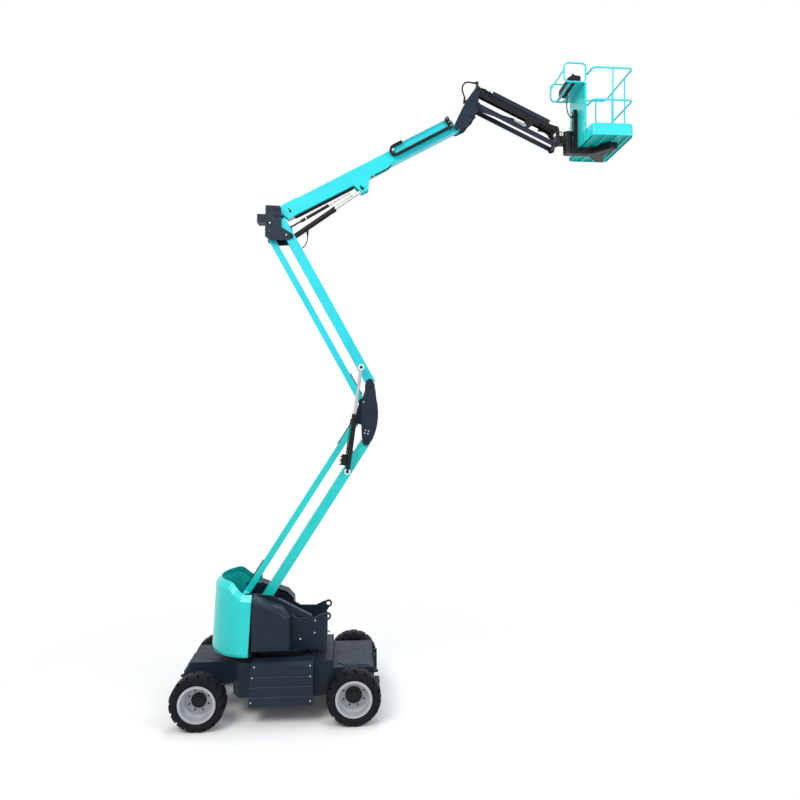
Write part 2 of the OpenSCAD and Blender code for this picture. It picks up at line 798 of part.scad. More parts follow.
// Crescent plates with the four pins that join the lower and upper arms
module knuckle() {
    end_r = main_pin_r + 30;
    color(navy) placed() {
        both(plate_in, plate_out) {
            disc(knuckle_main, end_r);
            disc(upper_arm_foot, end_r);
            intersection() {
                disc(crescent_c, crescent_r);
                polygon([knuckle_main + [-end_r, 0], knuckle_main + [400, 0], upper_arm_foot + [400, 0],
                    upper_arm_foot + [-end_r, 0], upper_link_foot + [-10, 0], knuckle_main + [-75, 260]]);
            }
        }
        both(knuckle_in, knuckle_in + knuckle_t) {
            disc(knuckle_link, link_boss_r + 4);
            disc(upper_link_foot, link_boss_r + 4);
            polygon([knuckle_link + [-20, -50], knuckle_main + [85, 230], upper_link_foot + [120, 40],
                upper_link_foot + [-20, 50], knuckle_link + [-50, 30]]);
        }
        for (z = [250, 690]) translate([knuckle_main[0] + 10, -plate_in, knuckle_main[1] + z])
            cube([90, 2 * plate_in, 16]);
        cross_pin(knuckle_main, main_pin_r, plate_out + 10);
        cross_pin(upper_arm_foot, main_pin_r, plate_out + 10);
        cross_pin(knuckle_link, link_pin_r, knuckle_in + knuckle_t);
        cross_pin(upper_link_foot, link_pin_r, knuckle_in + knuckle_t);
    }
}

// Twin arm, open in the middle so that the boom can lie down in it
module upper_arm() {
    color(teal) placed() difference() {
        union() {
            for (side = [0, 1]) mirror([0, side, 0]) {
                box_tube(upper_arm_foot, head_main, upper_arm_h, arm_in, arm_out, arm_wall, arm_off, 30, 85);
                flat(arm_in, arm_out) strip(head_main, upper_arm_foot, 100, 0, 0, 110 - upper_arm_l);
                pin(head_main, 64, arm_in, plate_in - slide);
                pin(riser_eye, riser_pin_r + 20, arm_out - 4, plate_in);
            }
            cross_pin(upper_arm_foot, arm_boss_r - 8, plate_in - slide);
            flat(-arm_in - 4, arm_in + 4) strip(at(upper_arm_foot, upper_dir_a, 420),
                at(upper_arm_foot, upper_dir_a, 900), 60, arm_off);
        }
        cross_pin(upper_arm_foot, main_pin_r + run, mast_w);
        cross_pin(head_main, main_pin_r + run, mast_w);
    }
}

// Twin link beside the lift cylinder
module upper_link() {
    color(teal) placed() difference() {
        union() {
            for (side = [0, 1]) mirror([0, side, 0]) {
                box_tube(upper_link_foot, head_link, link_h, link_in, link_out, arm_wall, 0, 20, 20);
                pin(head_link, link_boss_r, link_in, link_out);
            }
            cross_pin(upper_link_foot, link_boss_r, knuckle_in - slide);
            flat(-link_in - 4, link_in + 4) strip(at(upper_link_foot, upper_dir_a, 300),
                at(upper_link_foot, upper_dir_a, 800), 40);
        }
        cross_pin(upper_link_foot, link_pin_r + run, mast_w);
        cross_pin(head_link, link_pin_r + run, mast_w);
    }
}

// Head between the upper arm and the boom
module tower_head() {
    box_half_w = 120;
    color(navy) placed() {
        both(plate_in, plate_out) {
            polygon([head_main + [-185, 167], head_main + [45, 162], head_main + [72, 126],
                head_main + [72, -190], lift_base + [35, 30], lift_base + [-20, -62],
                head_link + [40, -140], head_link + [-45, -75]]);
            disc(lift_base, 46);
        }
        both(head_inner_in, head_inner_in + head_inner_t) {
            polygon([head_link + [-45, -30], head_link + [0, -50], lift_base + [0, -42], lift_base + [40, 0],
                level_base + [32, 0], level_base + [0, 32], head_main + [70, -105], head_main + [-40, 20]]);
            disc(head_main, 50);
        }
        translate([head_link[0] - 189, -box_half_w, head_link[1] + 182]) cube([165, 2 * box_half_w, 136]);
        translate([head_link[0] - 40, -plate_in - 1, head_link[1] + 182])
            cube([16, 2 * plate_in + 2, 136]);
        cross_pin(head_main, main_pin_r, plate_out + 10);
        cross_pin(head_link, link_pin_r, plate_out + 10);
        cross_pin(boom_pivot, main_pin_r, plate_out + 10);
        cross_pin(lift_base, lift_pin_r, head_inner_in + 1);
        pin(level_base, level_pin_r, level_y - level_eye_w / 2 - slide, -head_inner_in);
    }
}

// Hydraulic cylinder barrel from p towards q: eye on a pin at p, bored for the rod
module barrel(p, q, y, r, rod_r, l, eye_r, eye_w, pin_r) {
    difference() {
        union() {
            pin(p, eye_r, y - eye_w / 2, y + eye_w / 2);
            rod(p, q, r, y, eye_r * 0.6, l);
            rod(p, q, r + 4, y, l - 70, l);
        }
        pin(p, pin_r + run, y - eye_w, y + eye_w);
        rod(p, q, r - 8, y, eye_r + 20, l - 45);
        rod(p, q, rod_r + run, y, eye_r + 20, l + gap);
    }
}

// Hydraulic rod from its inner end to its eye at q, with a short pin in the eye
module piston_rod(p, q, y, r, start, eye_r, eye_w, pin_r, pin_y0, pin_y1) {
    l = norm(q - p);
    rod(p, q, r, y, start, l - eye_r * 0.6);
    pin(q, eye_r, y - eye_w / 2, y + eye_w / 2);
    pin(q, pin_r, pin_y0, pin_y1);
}

module riser_barrels() {
    color(black) placed() for (side = [-1, 1])
        barrel(riser_base, riser_eye, side * riser_y, riser_barrel_r, riser_rod_r, riser_barrel_l,
            riser_pin_r + 20, riser_eye_w, riser_pin_r);
}

module riser_rods() {
    y0 = plate_in + slide;
    y1 = riser_y + riser_eye_w / 2 + 12;
    color(silver) placed() for (side = [0, 1]) mirror([0, side, 0])
        piston_rod(riser_base, riser_eye, riser_y, riser_rod_r, riser_rod_in, riser_pin_r + 18, riser_eye_w,
            riser_pin_r, y0, y1);
}

// Boom

function boom_at(s, n) = at(boom_pivot, boom_a, s, n);

module boom() {
    half = boom_w / 2;
    lug_in = head_inner_in + head_inner_t + gap;
    color(teal) placed() difference() {
        union() {
            difference() {
                flat(-half, half) polygon([boom_at(boom_rear_s, boom_bottom_n),
                    boom_at(boom_l - 185, boom_bottom_n), boom_at(boom_l - 38, boom_bottom_n + 46),
                    boom_at(boom_l, boom_bottom_n + 128), boom_at(boom_l - 26, boom_top_n),
                    boom_at(425, boom_top_n), boom_at(380, boom_top_n + 14),
                    boom_at(boom_rear_s, boom_top_n + 14)]);
                flat(-half + boom_wall, half - boom_wall)
                    strip(boom_at(boom_rear_s + 15, boom_mid_n), boom_at(boom_l + gap, boom_mid_n),
                        boom_h - 2 * boom_wall);
            }
            both(lug_in, half) {
                disc(boom_pivot, main_pin_r + 24);
                polygon([boom_at(-10, 50), boom_at(150, boom_top_n), boom_at(150, boom_bottom_n),
                    boom_at(boom_rear_s, boom_bottom_n), boom_at(30, -50)]);
            }
            both(half - boom_lug_t, half) {
                disc(lift_eye_pt, 58);
                polygon([boom_at(lift_eye_s - 105, boom_bottom_n + 1),
                    boom_at(lift_eye_s + 205, boom_bottom_n + 1),
                    boom_at(lift_eye_s + 85, lift_eye_n - 55), boom_at(lift_eye_s - 45, lift_eye_n - 55)]);
            }
            wear_pads();
        }
        cross_pin(boom_pivot, main_pin_r + run, mast_w);
    }
}

// Pads inside the mouth of the outer boom that the inner boom slides on
module wear_pads() {
    pad_l = 120;
    pad_s = boom_l - 330;
    half = boom_w / 2 - boom_wall;
    t = pad_gap - seat;
    for (side = [0, 1]) mirror([0, side, 0]) flat(half - t, half + 1)
        strip(boom_at(pad_s, boom_mid_n), boom_at(pad_s + pad_l, boom_mid_n), 120);
    for (dir = [-1, 1]) flat(-50, 50)
        strip(boom_at(pad_s, boom_mid_n), boom_at(pad_s + pad_l, boom_mid_n), t + 1,
            dir * (boom_h / 2 - boom_wall - t / 2 + 0.5));
}

// Lift cylinder's barrel with the two ports of its hose
module lift_barrel() {
    port = 36;
    color(black) placed() {
        barrel(lift_base, lift_eye_pt, 0, lift_barrel_r, lift_rod_r, lift_barrel_l, lift_pin_r + 17,
            2 * lift_half_w, lift_pin_r);
        difference() {
            translate([lift_base[0] + hose_lift_route[0][0] - port / 2, -port / 2,
                lift_base[1] + hose_lift_route[0][1] + seat]) cube([port, port, 80]);
            rod(lift_base, lift_eye_pt, lift_barrel_r - 4, 0, 0, lift_barrel_l);
        }
        translate([lift_base[0] - port / 2, -port / 2, lift_base[1] - 75 + seat]) cube([port, port, 39]);
    }
}

module lift_rod() {
    w = boom_w / 2 - boom_lug_t - slide;
    color(silver) placed() piston_rod(lift_base, lift_eye_pt, 0, lift_rod_r, lift_rod_in, lift_pin_r + 13,
        2 * lift_half_w, lift_pin_r, -w, w);
}

// Level cylinder, with a slender neck between its eye and its barrel
module level_barrel() {
    eye_r = level_pin_r + 10;
    end = level_neck_l + level_barrel_l;
    color(black) placed() difference() {
        union() {
            pin(level_base, eye_r, level_y - level_eye_w / 2, level_y + level_eye_w / 2);
            rod(level_base, level_eye, level_rod_r, level_y, eye_r * 0.6, level_neck_l + gap);
            rod(level_base, level_eye, level_barrel_r, level_y, level_neck_l, end);
        }
        pin(level_base, level_pin_r + run, level_y - level_eye_w, level_y + level_eye_w);
        rod(level_base, level_eye, level_barrel_r - 5, level_y, level_neck_l + 20, end - 40);
        rod(level_base, level_eye, level_rod_r + run, level_y, level_neck_l + 20, end + gap);
    }
}

module level_rod() {
    w = level_eye_w / 2;
    color(silver) placed() piston_rod(level_base, level_eye, level_y, level_rod_r, level_rod_in,
        level_pin_r + 4, level_eye_w, level_pin_r - 8, level_y - w - 3, level_y + w + 3);
}

// Inner boom with its tip ears and the plate behind the cable track
module fly_boom() {
    half = fly_w / 2;
    plate_n = (track_low_n + track_high_n) / 2;
    color(teal) placed() difference() {
        union() {
            box_tube(boom_at(fly_rear_s, boom_mid_n), boom_at(fly_tip_s - 90, boom_mid_n), fly_h, -half,
                half, fly_wall);
            both(half - 24, half) {
                disc(tip_pivot, jib_pin_r + 34);
                strip(boom_at(fly_tip_s - 300, boom_mid_n), boom_at(fly_tip_s - 70, boom_mid_n), fly_h);
            }
            flat(-track_plate_out, -track_plate_out + track_plate_t)
                strip(boom_at(track_s0, plate_n), boom_at(track_s1, plate_n), track_high_n - track_low_n);
            flat(-track_plate_out, -half + 1)
                strip(boom_at(boom_l + fly_travel + gap, boom_mid_n), boom_at(track_s1, boom_mid_n), 110);
        }
        cross_pin(tip_pivot, jib_pin_r + run, mast_w);
    }
}

// Cable carrier beside the inner boom, a flat loop with an end clamp and pads on the plate behind it
module cable_track() {
    r = (track_high_n - track_low_n) / 2;
    mid_n = (track_high_n + track_low_n) / 2;
    clamp = 60;
    color(black) placed() {
        flat(-track_in - track_w, -track_in) {
            strip(boom_at(track_s0, track_low_n), boom_at(track_s1, track_low_n), track_band);
            strip(boom_at(track_s0, track_high_n), boom_at(track_tube_s, track_high_n), track_band);
            intersection() {
                difference() {
                    disc(boom_at(track_s0, mid_n), r + track_band / 2);
                    disc(boom_at(track_s0, mid_n), r - track_band / 2);
                }
                strip(boom_at(track_s0 - 2 * r, mid_n), boom_at(track_s0 + 1, mid_n), 4 * r);
            }
            strip(boom_at(track_s1 - clamp, mid_n), boom_at(track_s1, mid_n), 2 * r + track_band);
        }
        for (s = [track_s0 + clamp, track_s1 - 2 * clamp]) flat(-track_in - 1, -track_plate_out - seat)
            strip(boom_at(s, track_low_n), boom_at(s + clamp, track_low_n), track_band / 2);
    }
}

// Light tube that carries the upper run of the track
module track_tube() {
    p = boom_at(0, track_high_n);
    q = boom_at(track_s1, track_high_n);
    color(silver) placed() rod(p, q, track_tube_r, -track_in - track_w / 2, track_tube_s + seat,
        track_s1 - 60 - seat);
}

// Jib

// Bracket at the boom's tip that carries the jib, with two clips for its hose
module jib_base() {
    clip = 44;
    color(navy) placed() {
        both(jib_plate_in, jib_plate_out) {
            disc(tip_pivot, jib_pin_r + 40);
            polygon([tip_pivot + [20, -58], tip_pivot + [156, 12], tip_pivot + [219, 97],
                tip_pivot + [293, 173], tip_pivot + [352, 290], jib_foot + [14, -110], jib_foot + [50, 0],
                jib_foot + [-25, 46], tip_pivot + [146, 438], tip_pivot + [72, 300], tip_pivot + [-58, 24]]);
            disc(jib_foot, jib_pin_r + 30);
            disc(jib_link_foot, jib_pin_r + 20);
        }
        both(fly_w / 2 + slide, jib_plate_in) disc(tip_pivot, jib_pin_r + 30);
        cross_pin(tip_pivot, jib_pin_r, jib_plate_out);
        cross_pin(jib_foot, jib_pin_r, jib_plate_out + 8);
        cross_pin(jib_link_foot, jib_pin_r, jib_plate_out + 8);
        flat(-jib_plate_in, jib_plate_in) strip(tip_pivot + [105, 320], tip_pivot + [160, 420], 30);
        translate([jib_foot[0] - 252, -jib_plate_in - 1, jib_foot[1] - 190 - seat - clip])
            cube([76, clip, clip]);
        translate([jib_foot[0] - 30 + seat, -jib_plate_in - 1, jib_foot[1] + 37]) cube([40, clip, 103]);
    }
}

// Upper arm of the jib, a channel that is open below for the cylinder
module jib_arm() {
    half = jib_arm_half_w;
    end_cut = 20;
    color(navy) placed() difference() {
        union() {
            difference() {
                flat(-half, half) strip(jib_foot, jib_head, jib_arm_h, jib_arm_off, -end_cut, -end_cut);
                flat(-half + jib_wall, half - jib_wall)
                    strip(jib_foot, jib_head, jib_arm_h, jib_arm_off - jib_wall, gap, gap);
            }
            for (p = [jib_foot, jib_head]) {
                cross_pin(p, jib_pin_r + 12, half);
                cross_pin(p, jib_pin_r + 8, jib_link_in - 4);
            }
            both(jib_eye_r, half) {
                disc(jib_eye, jib_eye_r + 12);
                polygon([at(jib_foot, jib_a, 960, -20), at(jib_foot, jib_a, 1140, -20),
                    at(jib_eye, jib_a, 38, -8), at(jib_eye, jib_a, -38, -8)]);
            }
        }
        cross_pin(jib_foot, jib_pin_r + run, mast_w);
        cross_pin(jib_head, jib_pin_r + run, mast_w);
    }
}

// Duct over the hoses on the jib
module jib_cover() {
    h = 70;
    half = 62;
    wall = 4;
    n = jib_arm_off + jib_arm_h / 2 + h / 2 + seat;
    color(navy) placed()
        box_tube(at(jib_foot, jib_a, 255, n), at(jib_foot, jib_a, 1365, n), h, -half, half, wall);
}

// Pair of bars under the jib's upper arm
module jib_links() {
    color(navy) placed() difference() {
        union() {
            for (side = [0, 1]) mirror([0, side, 0]) {
                box_tube(jib_link_foot, jib_link_head, jib_link_h, jib_link_in, jib_link_out, 5, 0, 15, 15);
                for (p = [jib_link_foot, jib_link_head])
                    pin(p, jib_pin_r + 14, jib_link_in, jib_plate_in - slide);
            }
            cross_pin(jib_link_head, jib_pin_r + 6, jib_link_in + 4);
        }
        cross_pin(jib_link_foot, jib_pin_r + run, mast_w);
        cross_pin(jib_link_head, jib_pin_r + run, mast_w);
    }
}

module jib_barrel() {
    color(black) placed() barrel(jib_link_foot, jib_eye, 0, jib_barrel_r, jib_rod_r, jib_barrel_l,
        jib_pin_r + 12, 2 * (jib_barrel_r + 4), jib_pin_r);
}

module jib_rod() {
    w = jib_eye_r - slide;
    color(silver) placed() piston_rod(jib_link_foot, jib_eye, 0, jib_rod_r, jib_rod_in, jib_eye_r,
        2 * (w - 4), jib_eye_r / 2, -w, w);
}

// Hooked plates at the jib's end with the rotator's housing
module jib_end() {
    z0 = jib_link_head[1] + 45;
    h = 140;
    color(navy) placed() {
        both(jib_plate_in, jib_plate_out) {
            difference() {
                polygon([jib_head + [-240, 75], jib_head + [-225, 118], jib_head + [0, 45],
                    jib_head + [55, 0], jib_link_head + [75, 40], jib_link_head + [55, -30],
                    jib_link_head + [-30, -40], jib_link_head + [-50, 0]]);
                disc(jib_head + [-215, -155], 225);
            }
            disc(jib_head, jib_pin_r + 28);
            disc(jib_link_head, jib_pin_r + 28);
        }
        translate([jib_head[0] + 22, -jib_plate_out, z0]) cube([34, 2 * jib_plate_out, h]);
        translate([jib_head[0] + 50, -65, z0]) cube([rotor_x - jib_head[0] - 50, 130, h]);
        translate([rotor_x, 0, rotor_z0]) cylinder(h = rotor_z1 - rotor_z0, r = rotor_r);
        cross_pin(jib_head, jib_pin_r, jib_plate_out + 8);
        cross_pin(jib_link_head, jib_pin_r, jib_plate_out + 8);
    }
}

// Platform

// Rotator flanges with the upright post, its cable gland and the arms under the floor
module platform_post() {
    post_t = 60;
    half = 60;
    flange_t = 24;
    arm_y = 330;
    z0 = rotor_z0 - seat - flange_t;
    arm_h = platform_z - z0;
    cable_end = console_cable_o + console_cable_route[len(console_cable_route) - 1];
    color(black) placed() {
        for (z = [z0, rotor_z1 + seat]) translate([rotor_x, 0, z]) {
            cylinder(h = flange_t, r = rotor_r);
            translate([0, -half, 0]) cube([post_x - rotor_x + 1, 2 * half, flange_t]);
        }
        translate([post_x, -half, z0]) cube([post_t, 2 * half, post_top_z - z0]);
        translate([post_x + post_t - 1, -half, z0]) cube([platform_x - post_x + 330, 2 * half, arm_h]);
        translate([platform_x, 0, z0]) linear_extrude(arm_h)
            polygon([[200, -half], [430, -arm_y], [560, -arm_y], [440, 0], [560, arm_y], [430, arm_y],
                [200, half]]);
        translate([cable_end[0] + seat, console_cable_y, cable_end[1]]) rotate([0, 90, 0])
            cylinder(h = post_x - cable_end[0] + 1, r = 2 * console_cable_r);
    }
}

// Rounded rectangle in plan, inset from the platform's edge
module platform_plan(inset) {
    r = corner_r - inset;
    x0 = platform_x + inset;
    x1 = platform_x1 - inset;
    y = platform_w / 2 - inset;
    for (cx = [x0 + r, x1 - r], cy = [-y + r, y - r]) translate([cx, cy]) circle(r);
    translate([x0 + r, -y]) square([x1 - x0 - 2 * r, 2 * y]);
    translate([x0, -y + r]) square([x1 - x0, 2 * y - 2 * r]);
}

// Floor plate on ribs, notched round the guard rail's posts
module platform_floor() {
    edge = toe_t + seat;
    notch_r = post_r + seat;
    color(teal) placed() difference() {
        union() {
            translate([0, 0, platform_z + floor_rib_h]) linear_extrude(floor_t) platform_plan(edge);
            translate([0, 0, platform_z]) linear_extrude(floor_rib_h + 1) intersection() {
                platform_plan(edge);
                for (i = [0 : 3]) translate([platform_x + 40 + i * 200, -platform_w / 2])
                    square([40, platform_w]);
            }
        }
        for (p = rail_posts) translate([p[0], p[1], platform_z - gap]) rotate(p[2]) {
            cylinder(h = floor_top_z - platform_z + 2 * gap, r = notch_r);
            translate([0, -notch_r, 0]) cube([2 * rail_r, 2 * notch_r, floor_top_z - platform_z + 2 * gap]);
        }
    }
}

module toe_board() {
    color(teal) placed() translate([0, 0, platform_z]) linear_extrude(toe_board_h) difference() {
        platform_plan(0);
        platform_plan(toe_t);
    }
}

// Closed round-cornered tube loop in plan
module rail_loop(z) {
    r = corner_r - rail_inset;
    for (side = [-1, 1]) translate([rail_x0 + r, side * rail_y, z]) rotate([0, 90, 0])
        cylinder(h = rail_x1 - rail_x0 - 2 * r, r = rail_r, $fn = 16);
    for (x = [rail_x0, rail_x1]) translate([x, -rail_y + r, z]) rotate([-90, 0, 0])
        cylinder(h = 2 * rail_y - 2 * r, r = rail_r, $fn = 16);
    for (i = [0 : 3]) {
        cx = (i == 0 || i == 3) ? rail_x1 - r : rail_x0 + r;
        cy = i < 2 ? rail_y - r : -rail_y + r;
        translate([cx, cy, z]) rotate([0, 0, i * 90]) rotate_extrude(angle = 90, $fn = 32)
            translate([r, 0]) circle(rail_r, $fn = 16);
    }
}

// Guard rail and mid rail, both open at the panel, and posts; a gap is left for the sliding bar
module platform_rails() {
    mid_z = platform_z + mid_rail_h;
    cut_x0 = gate_x0 - collar_r - gap;
    cut_x1 = gate_x1 + collar_r + gap;
    open_y = guard_y - 25;
    post_z = platform_z + floor_rib_h;
    tab = 40;
    color(teal) placed() {
        difference() {
            union() {
                rail_loop(rail_z);
                rail_loop(mid_z);
            }
            translate([cut_x0, rail_y - 2 * rail_r, mid_z - 2 * rail_r])
                cube([cut_x1 - cut_x0, 4 * rail_r, 4 * rail_r]);
            translate([rail_x0 - 2 * rail_r, -open_y, mid_z - 2 * rail_r])
                cube([4 * rail_r, 2 * open_y, rail_z - mid_z + 4 * rail_r]);
        }
        for (side = [-1, 1]) translate([platform_x, side * (guard_y - tab / 4) - tab / 4, mid_z - 8])
            cube([rail_inset, tab / 2, 16]);
        for (p = rail_posts) translate([p[0], p[1], post_z])
            cylinder(h = rail_z - post_z, r = post_r);
    }
}

// Panel on the jib's side of the platform
module platform_panel() {
    color(teal) placed() translate([platform_x - 36, -guard_y, platform_z])
        cube([36 - seat, 2 * guard_y, guard_z0 - platform_z]);
}

// Rounded tube loop in the side view, at one Y, with a bar to the guard rail
module guard_loop(y) {
    r = 70;
    bar = 16;
    for (x = [guard_x0, guard_x1]) translate([x, y, guard_z0 + r])
        cylinder(h = guard_h - 2 * r, r = guard_r, $fn = 16);
    for (z = [guard_z0, guard_top_z]) translate([guard_x0 + r, y, z]) rotate([0, 90, 0])
        cylinder(h = guard_d - 2 * r, r = guard_r, $fn = 16);
    for (i = [0 : 3]) {
        cx = (i == 0 || i == 3) ? guard_x1 - r : guard_x0 + r;
        cz = i < 2 ? guard_top_z - r : guard_z0 + r;
        translate([cx, y, cz]) rotate([90, 0, 0]) rotate([0, 0, i * 90])
            rotate_extrude(angle = 90, $fn = 32) translate([r, 0]) circle(guard_r, $fn = 16);
    }
    translate([guard_x1 - gap, y - bar / 2, rail_z - bar / 2])
        cube([rail_x0 - rail_r - seat - guard_x1 + gap, bar, bar]);
}

// Two tube loops and the flat bars between them that guard the control console
module console_guard() {
    bar_w = 50;
    bar_t = 8;
    color(teal) placed() {
        for (side = [-1, 1]) guard_loop(side * guard_y);
        translate([guard_x0 - bar_t / 2, -guard_y, guard_top_z - 130]) cube([bar_t, 2 * guard_y, bar_w]);
        for (x = [guard_x0 + 95, guard_x0 + 215])
            translate([x, -guard_y, guard_z0 - bar_t / 2]) cube([bar_w, 2 * guard_y, bar_t]);
    }
}

// Control box with a sloped top, two joysticks and the gland of its cable
module console() {
    half = 240;
    z0 = guard_z0 + 4;
    knob_r = 18;
    color(black) placed() {
        flat(-half, half) translate([console_x, z0]) polygon([[0, 0], [200, 0], [232, 90], [232, 165],
            [90, 190], [5, 130]]);
        for (y = [-110, 60]) translate([console_x + 140, y, z0 + 150]) {
            cylinder(h = 105, r = 12, $fn = 24);
            translate([0, 0, 105]) sphere(knob_r, $fn = 24);
        }
        translate([console_cable_o[0], console_cable_y, console_cable_o[1] + seat])
            cylinder(h = z0 - console_cable_o[1], r = 2 * console_cable_r);
    }
}

// Sliding mid rail on the far side, lifted to step in
module gate() {
    z = platform_z + mid_rail_h;
    collar_h = 80;
    color(teal) placed() difference() {
        union() {
            for (x = [gate_x0, gate_x1]) translate([x, rail_y, z - collar_h / 2])
                cylinder(h = collar_h, r = collar_r, $fn = 24);
            translate([gate_x0, rail_y, z]) rotate([0, 90, 0])
                cylinder(h = gate_x1 - gate_x0, r = rail_r - 2, $fn = 24);
        }
        for (x = [gate_x0, gate_x1]) translate([x, rail_y, z - collar_h])
            cylinder(h = 2 * collar_h, r = post_r + seat, $fn = 24);
    }
}

// Free hoses

// Smooth curve through a route's points, two steps in each span
function route_at(r, i) = r[max(0, min(len(r) - 1, i))];
function bent(a, b, c, d, u) = 0.5 * (2 * b + (c - a) * u + (2 * a - 5 * b + 4 * c - d) * u * u
    + (3 * b - a - 3 * c + d) * u * u * u);
function curve(r) = concat([for (i = [0 : len(r) - 2], u = [0, 0.5])
    bent(route_at(r, i - 1), r[i], r[i + 1], route_at(r, i + 2), u)], [r[len(r) - 1]]);
function heading(c, r, i) = i == 0 ? r[1] - r[0] : i == len(c) - 1 ? r[len(r) - 1] - r[len(r) - 2]
    : c[i + 1] - c[i - 1];
function across(t) = [-t[1], t[0]] / norm(t);

// Round tube along a route in the side view
module cord(o, route, y, r) {
    sides = 10;
    c = curve(route);
    last = len(c) - 1;
    points = [for (i = [0 : last], j = [0 : sides - 1])
        let(a = j * 360 / sides, m = across(heading(c, route, i)))
            [o[0] + c[i][0] + m[0] * r * cos(a), y + r * sin(a), o[1] + c[i][1] + m[1] * r * cos(a)]];
    walls = [for (i = [0 : last - 1], j = [0 : sides - 1], k = [0, 1]) let(a = i * sides + j,
        b = i * sides + (j + 1) % sides) k == 0 ? [a, b, a + sides] : [b, b + sides, a + sides]];
    caps = [[for (j = [sides - 1 : -1 : 0]) j], [for (j = [0 : sides - 1]) last * sides + j]];
    color(black) placed() polyhedron(points, concat(walls, caps));
}

module hose_jib() cord(hose_jib_o, hose_jib_route, hose_jib_y, hose_jib_r);
module hose_lift() cord(hose_lift_o, hose_lift_route, hose_lift_y, hose_lift_r);
module console_cable() cord(console_cable_o, console_cable_route, console_cable_y, console_cable_r);

chassis_frame();
side_boxes();
deck_cover();
steer_cover();
slew_ring();
steer_axle();
drive_axle();
steer_knuckle_near();
steer_knuckle_far();
tie_rod();
tyre_steer_near();
tyre_steer_far();
tyre_drive_near();
tyre_drive_far();
rim_steer_near();
rim_steer_far();
rim_drive_near();
rim_drive_far();
turntable_base();
mast_plates();
hood();
counterweight();
side_covers();
lower_arm();
lower_link();
knuckle();
upper_arm();
upper_link();
tower_head();
riser_barrels();
riser_rods();
boom();
lift_barrel();
lift_rod();
level_barrel();
level_rod();
fly_boom();
cable_track();
track_tube();
jib_base();
jib_arm();
jib_cover();
jib_links();
jib_barrel();
jib_rod();
jib_end();
platform_post();
platform_floor();
toe_board();
platform_rails();
platform_panel();
console_guard();
console();
gate();
hose_jib();
hose_lift();
console_cable();
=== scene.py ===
"""Articulating boom lift: finishes, fasteners, hoses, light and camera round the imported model."""
import json
import math

import bmesh
import bpy
from mathutils import Matrix, Vector


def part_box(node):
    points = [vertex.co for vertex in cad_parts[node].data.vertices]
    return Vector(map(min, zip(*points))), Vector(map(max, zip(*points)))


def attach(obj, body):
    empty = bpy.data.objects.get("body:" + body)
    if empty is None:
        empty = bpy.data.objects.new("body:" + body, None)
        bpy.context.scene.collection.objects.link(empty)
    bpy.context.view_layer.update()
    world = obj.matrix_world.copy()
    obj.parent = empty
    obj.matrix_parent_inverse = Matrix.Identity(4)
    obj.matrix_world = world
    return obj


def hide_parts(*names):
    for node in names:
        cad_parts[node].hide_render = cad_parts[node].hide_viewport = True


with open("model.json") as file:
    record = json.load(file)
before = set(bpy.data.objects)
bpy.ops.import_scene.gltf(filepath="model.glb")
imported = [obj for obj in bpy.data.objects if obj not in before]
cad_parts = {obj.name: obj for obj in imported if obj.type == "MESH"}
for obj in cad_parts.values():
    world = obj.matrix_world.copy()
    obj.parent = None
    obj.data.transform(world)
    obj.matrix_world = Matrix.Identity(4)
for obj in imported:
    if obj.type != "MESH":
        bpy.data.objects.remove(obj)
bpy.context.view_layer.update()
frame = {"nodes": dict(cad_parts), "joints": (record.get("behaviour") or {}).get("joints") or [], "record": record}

JOINTS = {joint["name"]: joint for joint in frame["joints"]}
NODES = frame["nodes"]
SLOT_OF = {part["node"]: part["material_slot"] for part in frame["record"]["subparts"]}

# The slew axis is the origin of the machine's own plan, in which the places below are given
SLEW_X = JOINTS["slew"]["pos_m"][0]
NEAR, FAR = -1, 1
SIDES = ((NEAR, "near"), (FAR, "far"))


def pivot(joint):
    """Place of a joint, in metres."""
    return Vector(JOINTS[joint]["pos_m"])


def plan(x, y, z):
    """A point given in the machine's own plan, with X from the slew axis."""
    return Vector((SLEW_X + x, y, z))


def along(origin, angle, s, n=0.0, y=0.0):
    """Point s along and n across a direction in the side view, at a given Y."""
    c, d = math.cos(math.radians(angle)), math.sin(math.radians(angle))
    return Vector((origin.x + s * c - n * d, y, origin.z + s * d + n * c))


def add_object(name, data):
    """New object in the scene."""
    made = bpy.data.objects.new(name, data)
    bpy.context.scene.collection.objects.link(made)
    return made


# Camera

IMAGE_SIZE = 800
FOCAL_PIXELS = 662.45
SENSOR = 36.0
CAMERA_PLACE = plan(1.1045, -11.3501, 5.0295)
CAMERA_LOOK = Vector((0.07856, 0.99689, 0.00577))


def make_camera():
    data = bpy.data.cameras.new("photo_camera")
    data.sensor_width = SENSOR
    data.lens = FOCAL_PIXELS * SENSOR / IMAGE_SIZE
    data.clip_end = 200
    camera = add_object("photo_camera", data)
    camera.location = CAMERA_PLACE
    camera.rotation_mode = "QUATERNION"
    camera.rotation_quaternion = CAMERA_LOOK.to_track_quat("-Z", "Y")
    bpy.context.scene.camera = camera


# Materials

def new_material(name):
    material = bpy.data.materials.new(name)
    material.use_nodes = True
    return material, material.node_tree, material.node_tree.nodes["Principled BSDF"]


def place_socket(tree, stretch=(1, 1, 1)):
    """Place in the piece's own space, stretched."""
    coords = tree.nodes.new("ShaderNodeTexCoord")
    mapping = tree.nodes.new("ShaderNodeMapping")
    mapping.inputs["Scale"].default_value = stretch
    tree.links.new(coords.outputs["Object"], mapping.inputs["Vector"])
    return mapping.outputs["Vector"]


def noise(tree, scale, detail, stretch=(1, 1, 1)):
    """Noise in the piece's own space; returns its value socket."""
    texture = tree.nodes.new("ShaderNodeTexNoise")
    texture.inputs["Scale"].default_value = scale
    texture.inputs["Detail"].default_value = detail
    tree.links.new(place_socket(tree, stretch), texture.inputs["Vector"])
    return texture.outputs["Fac"]


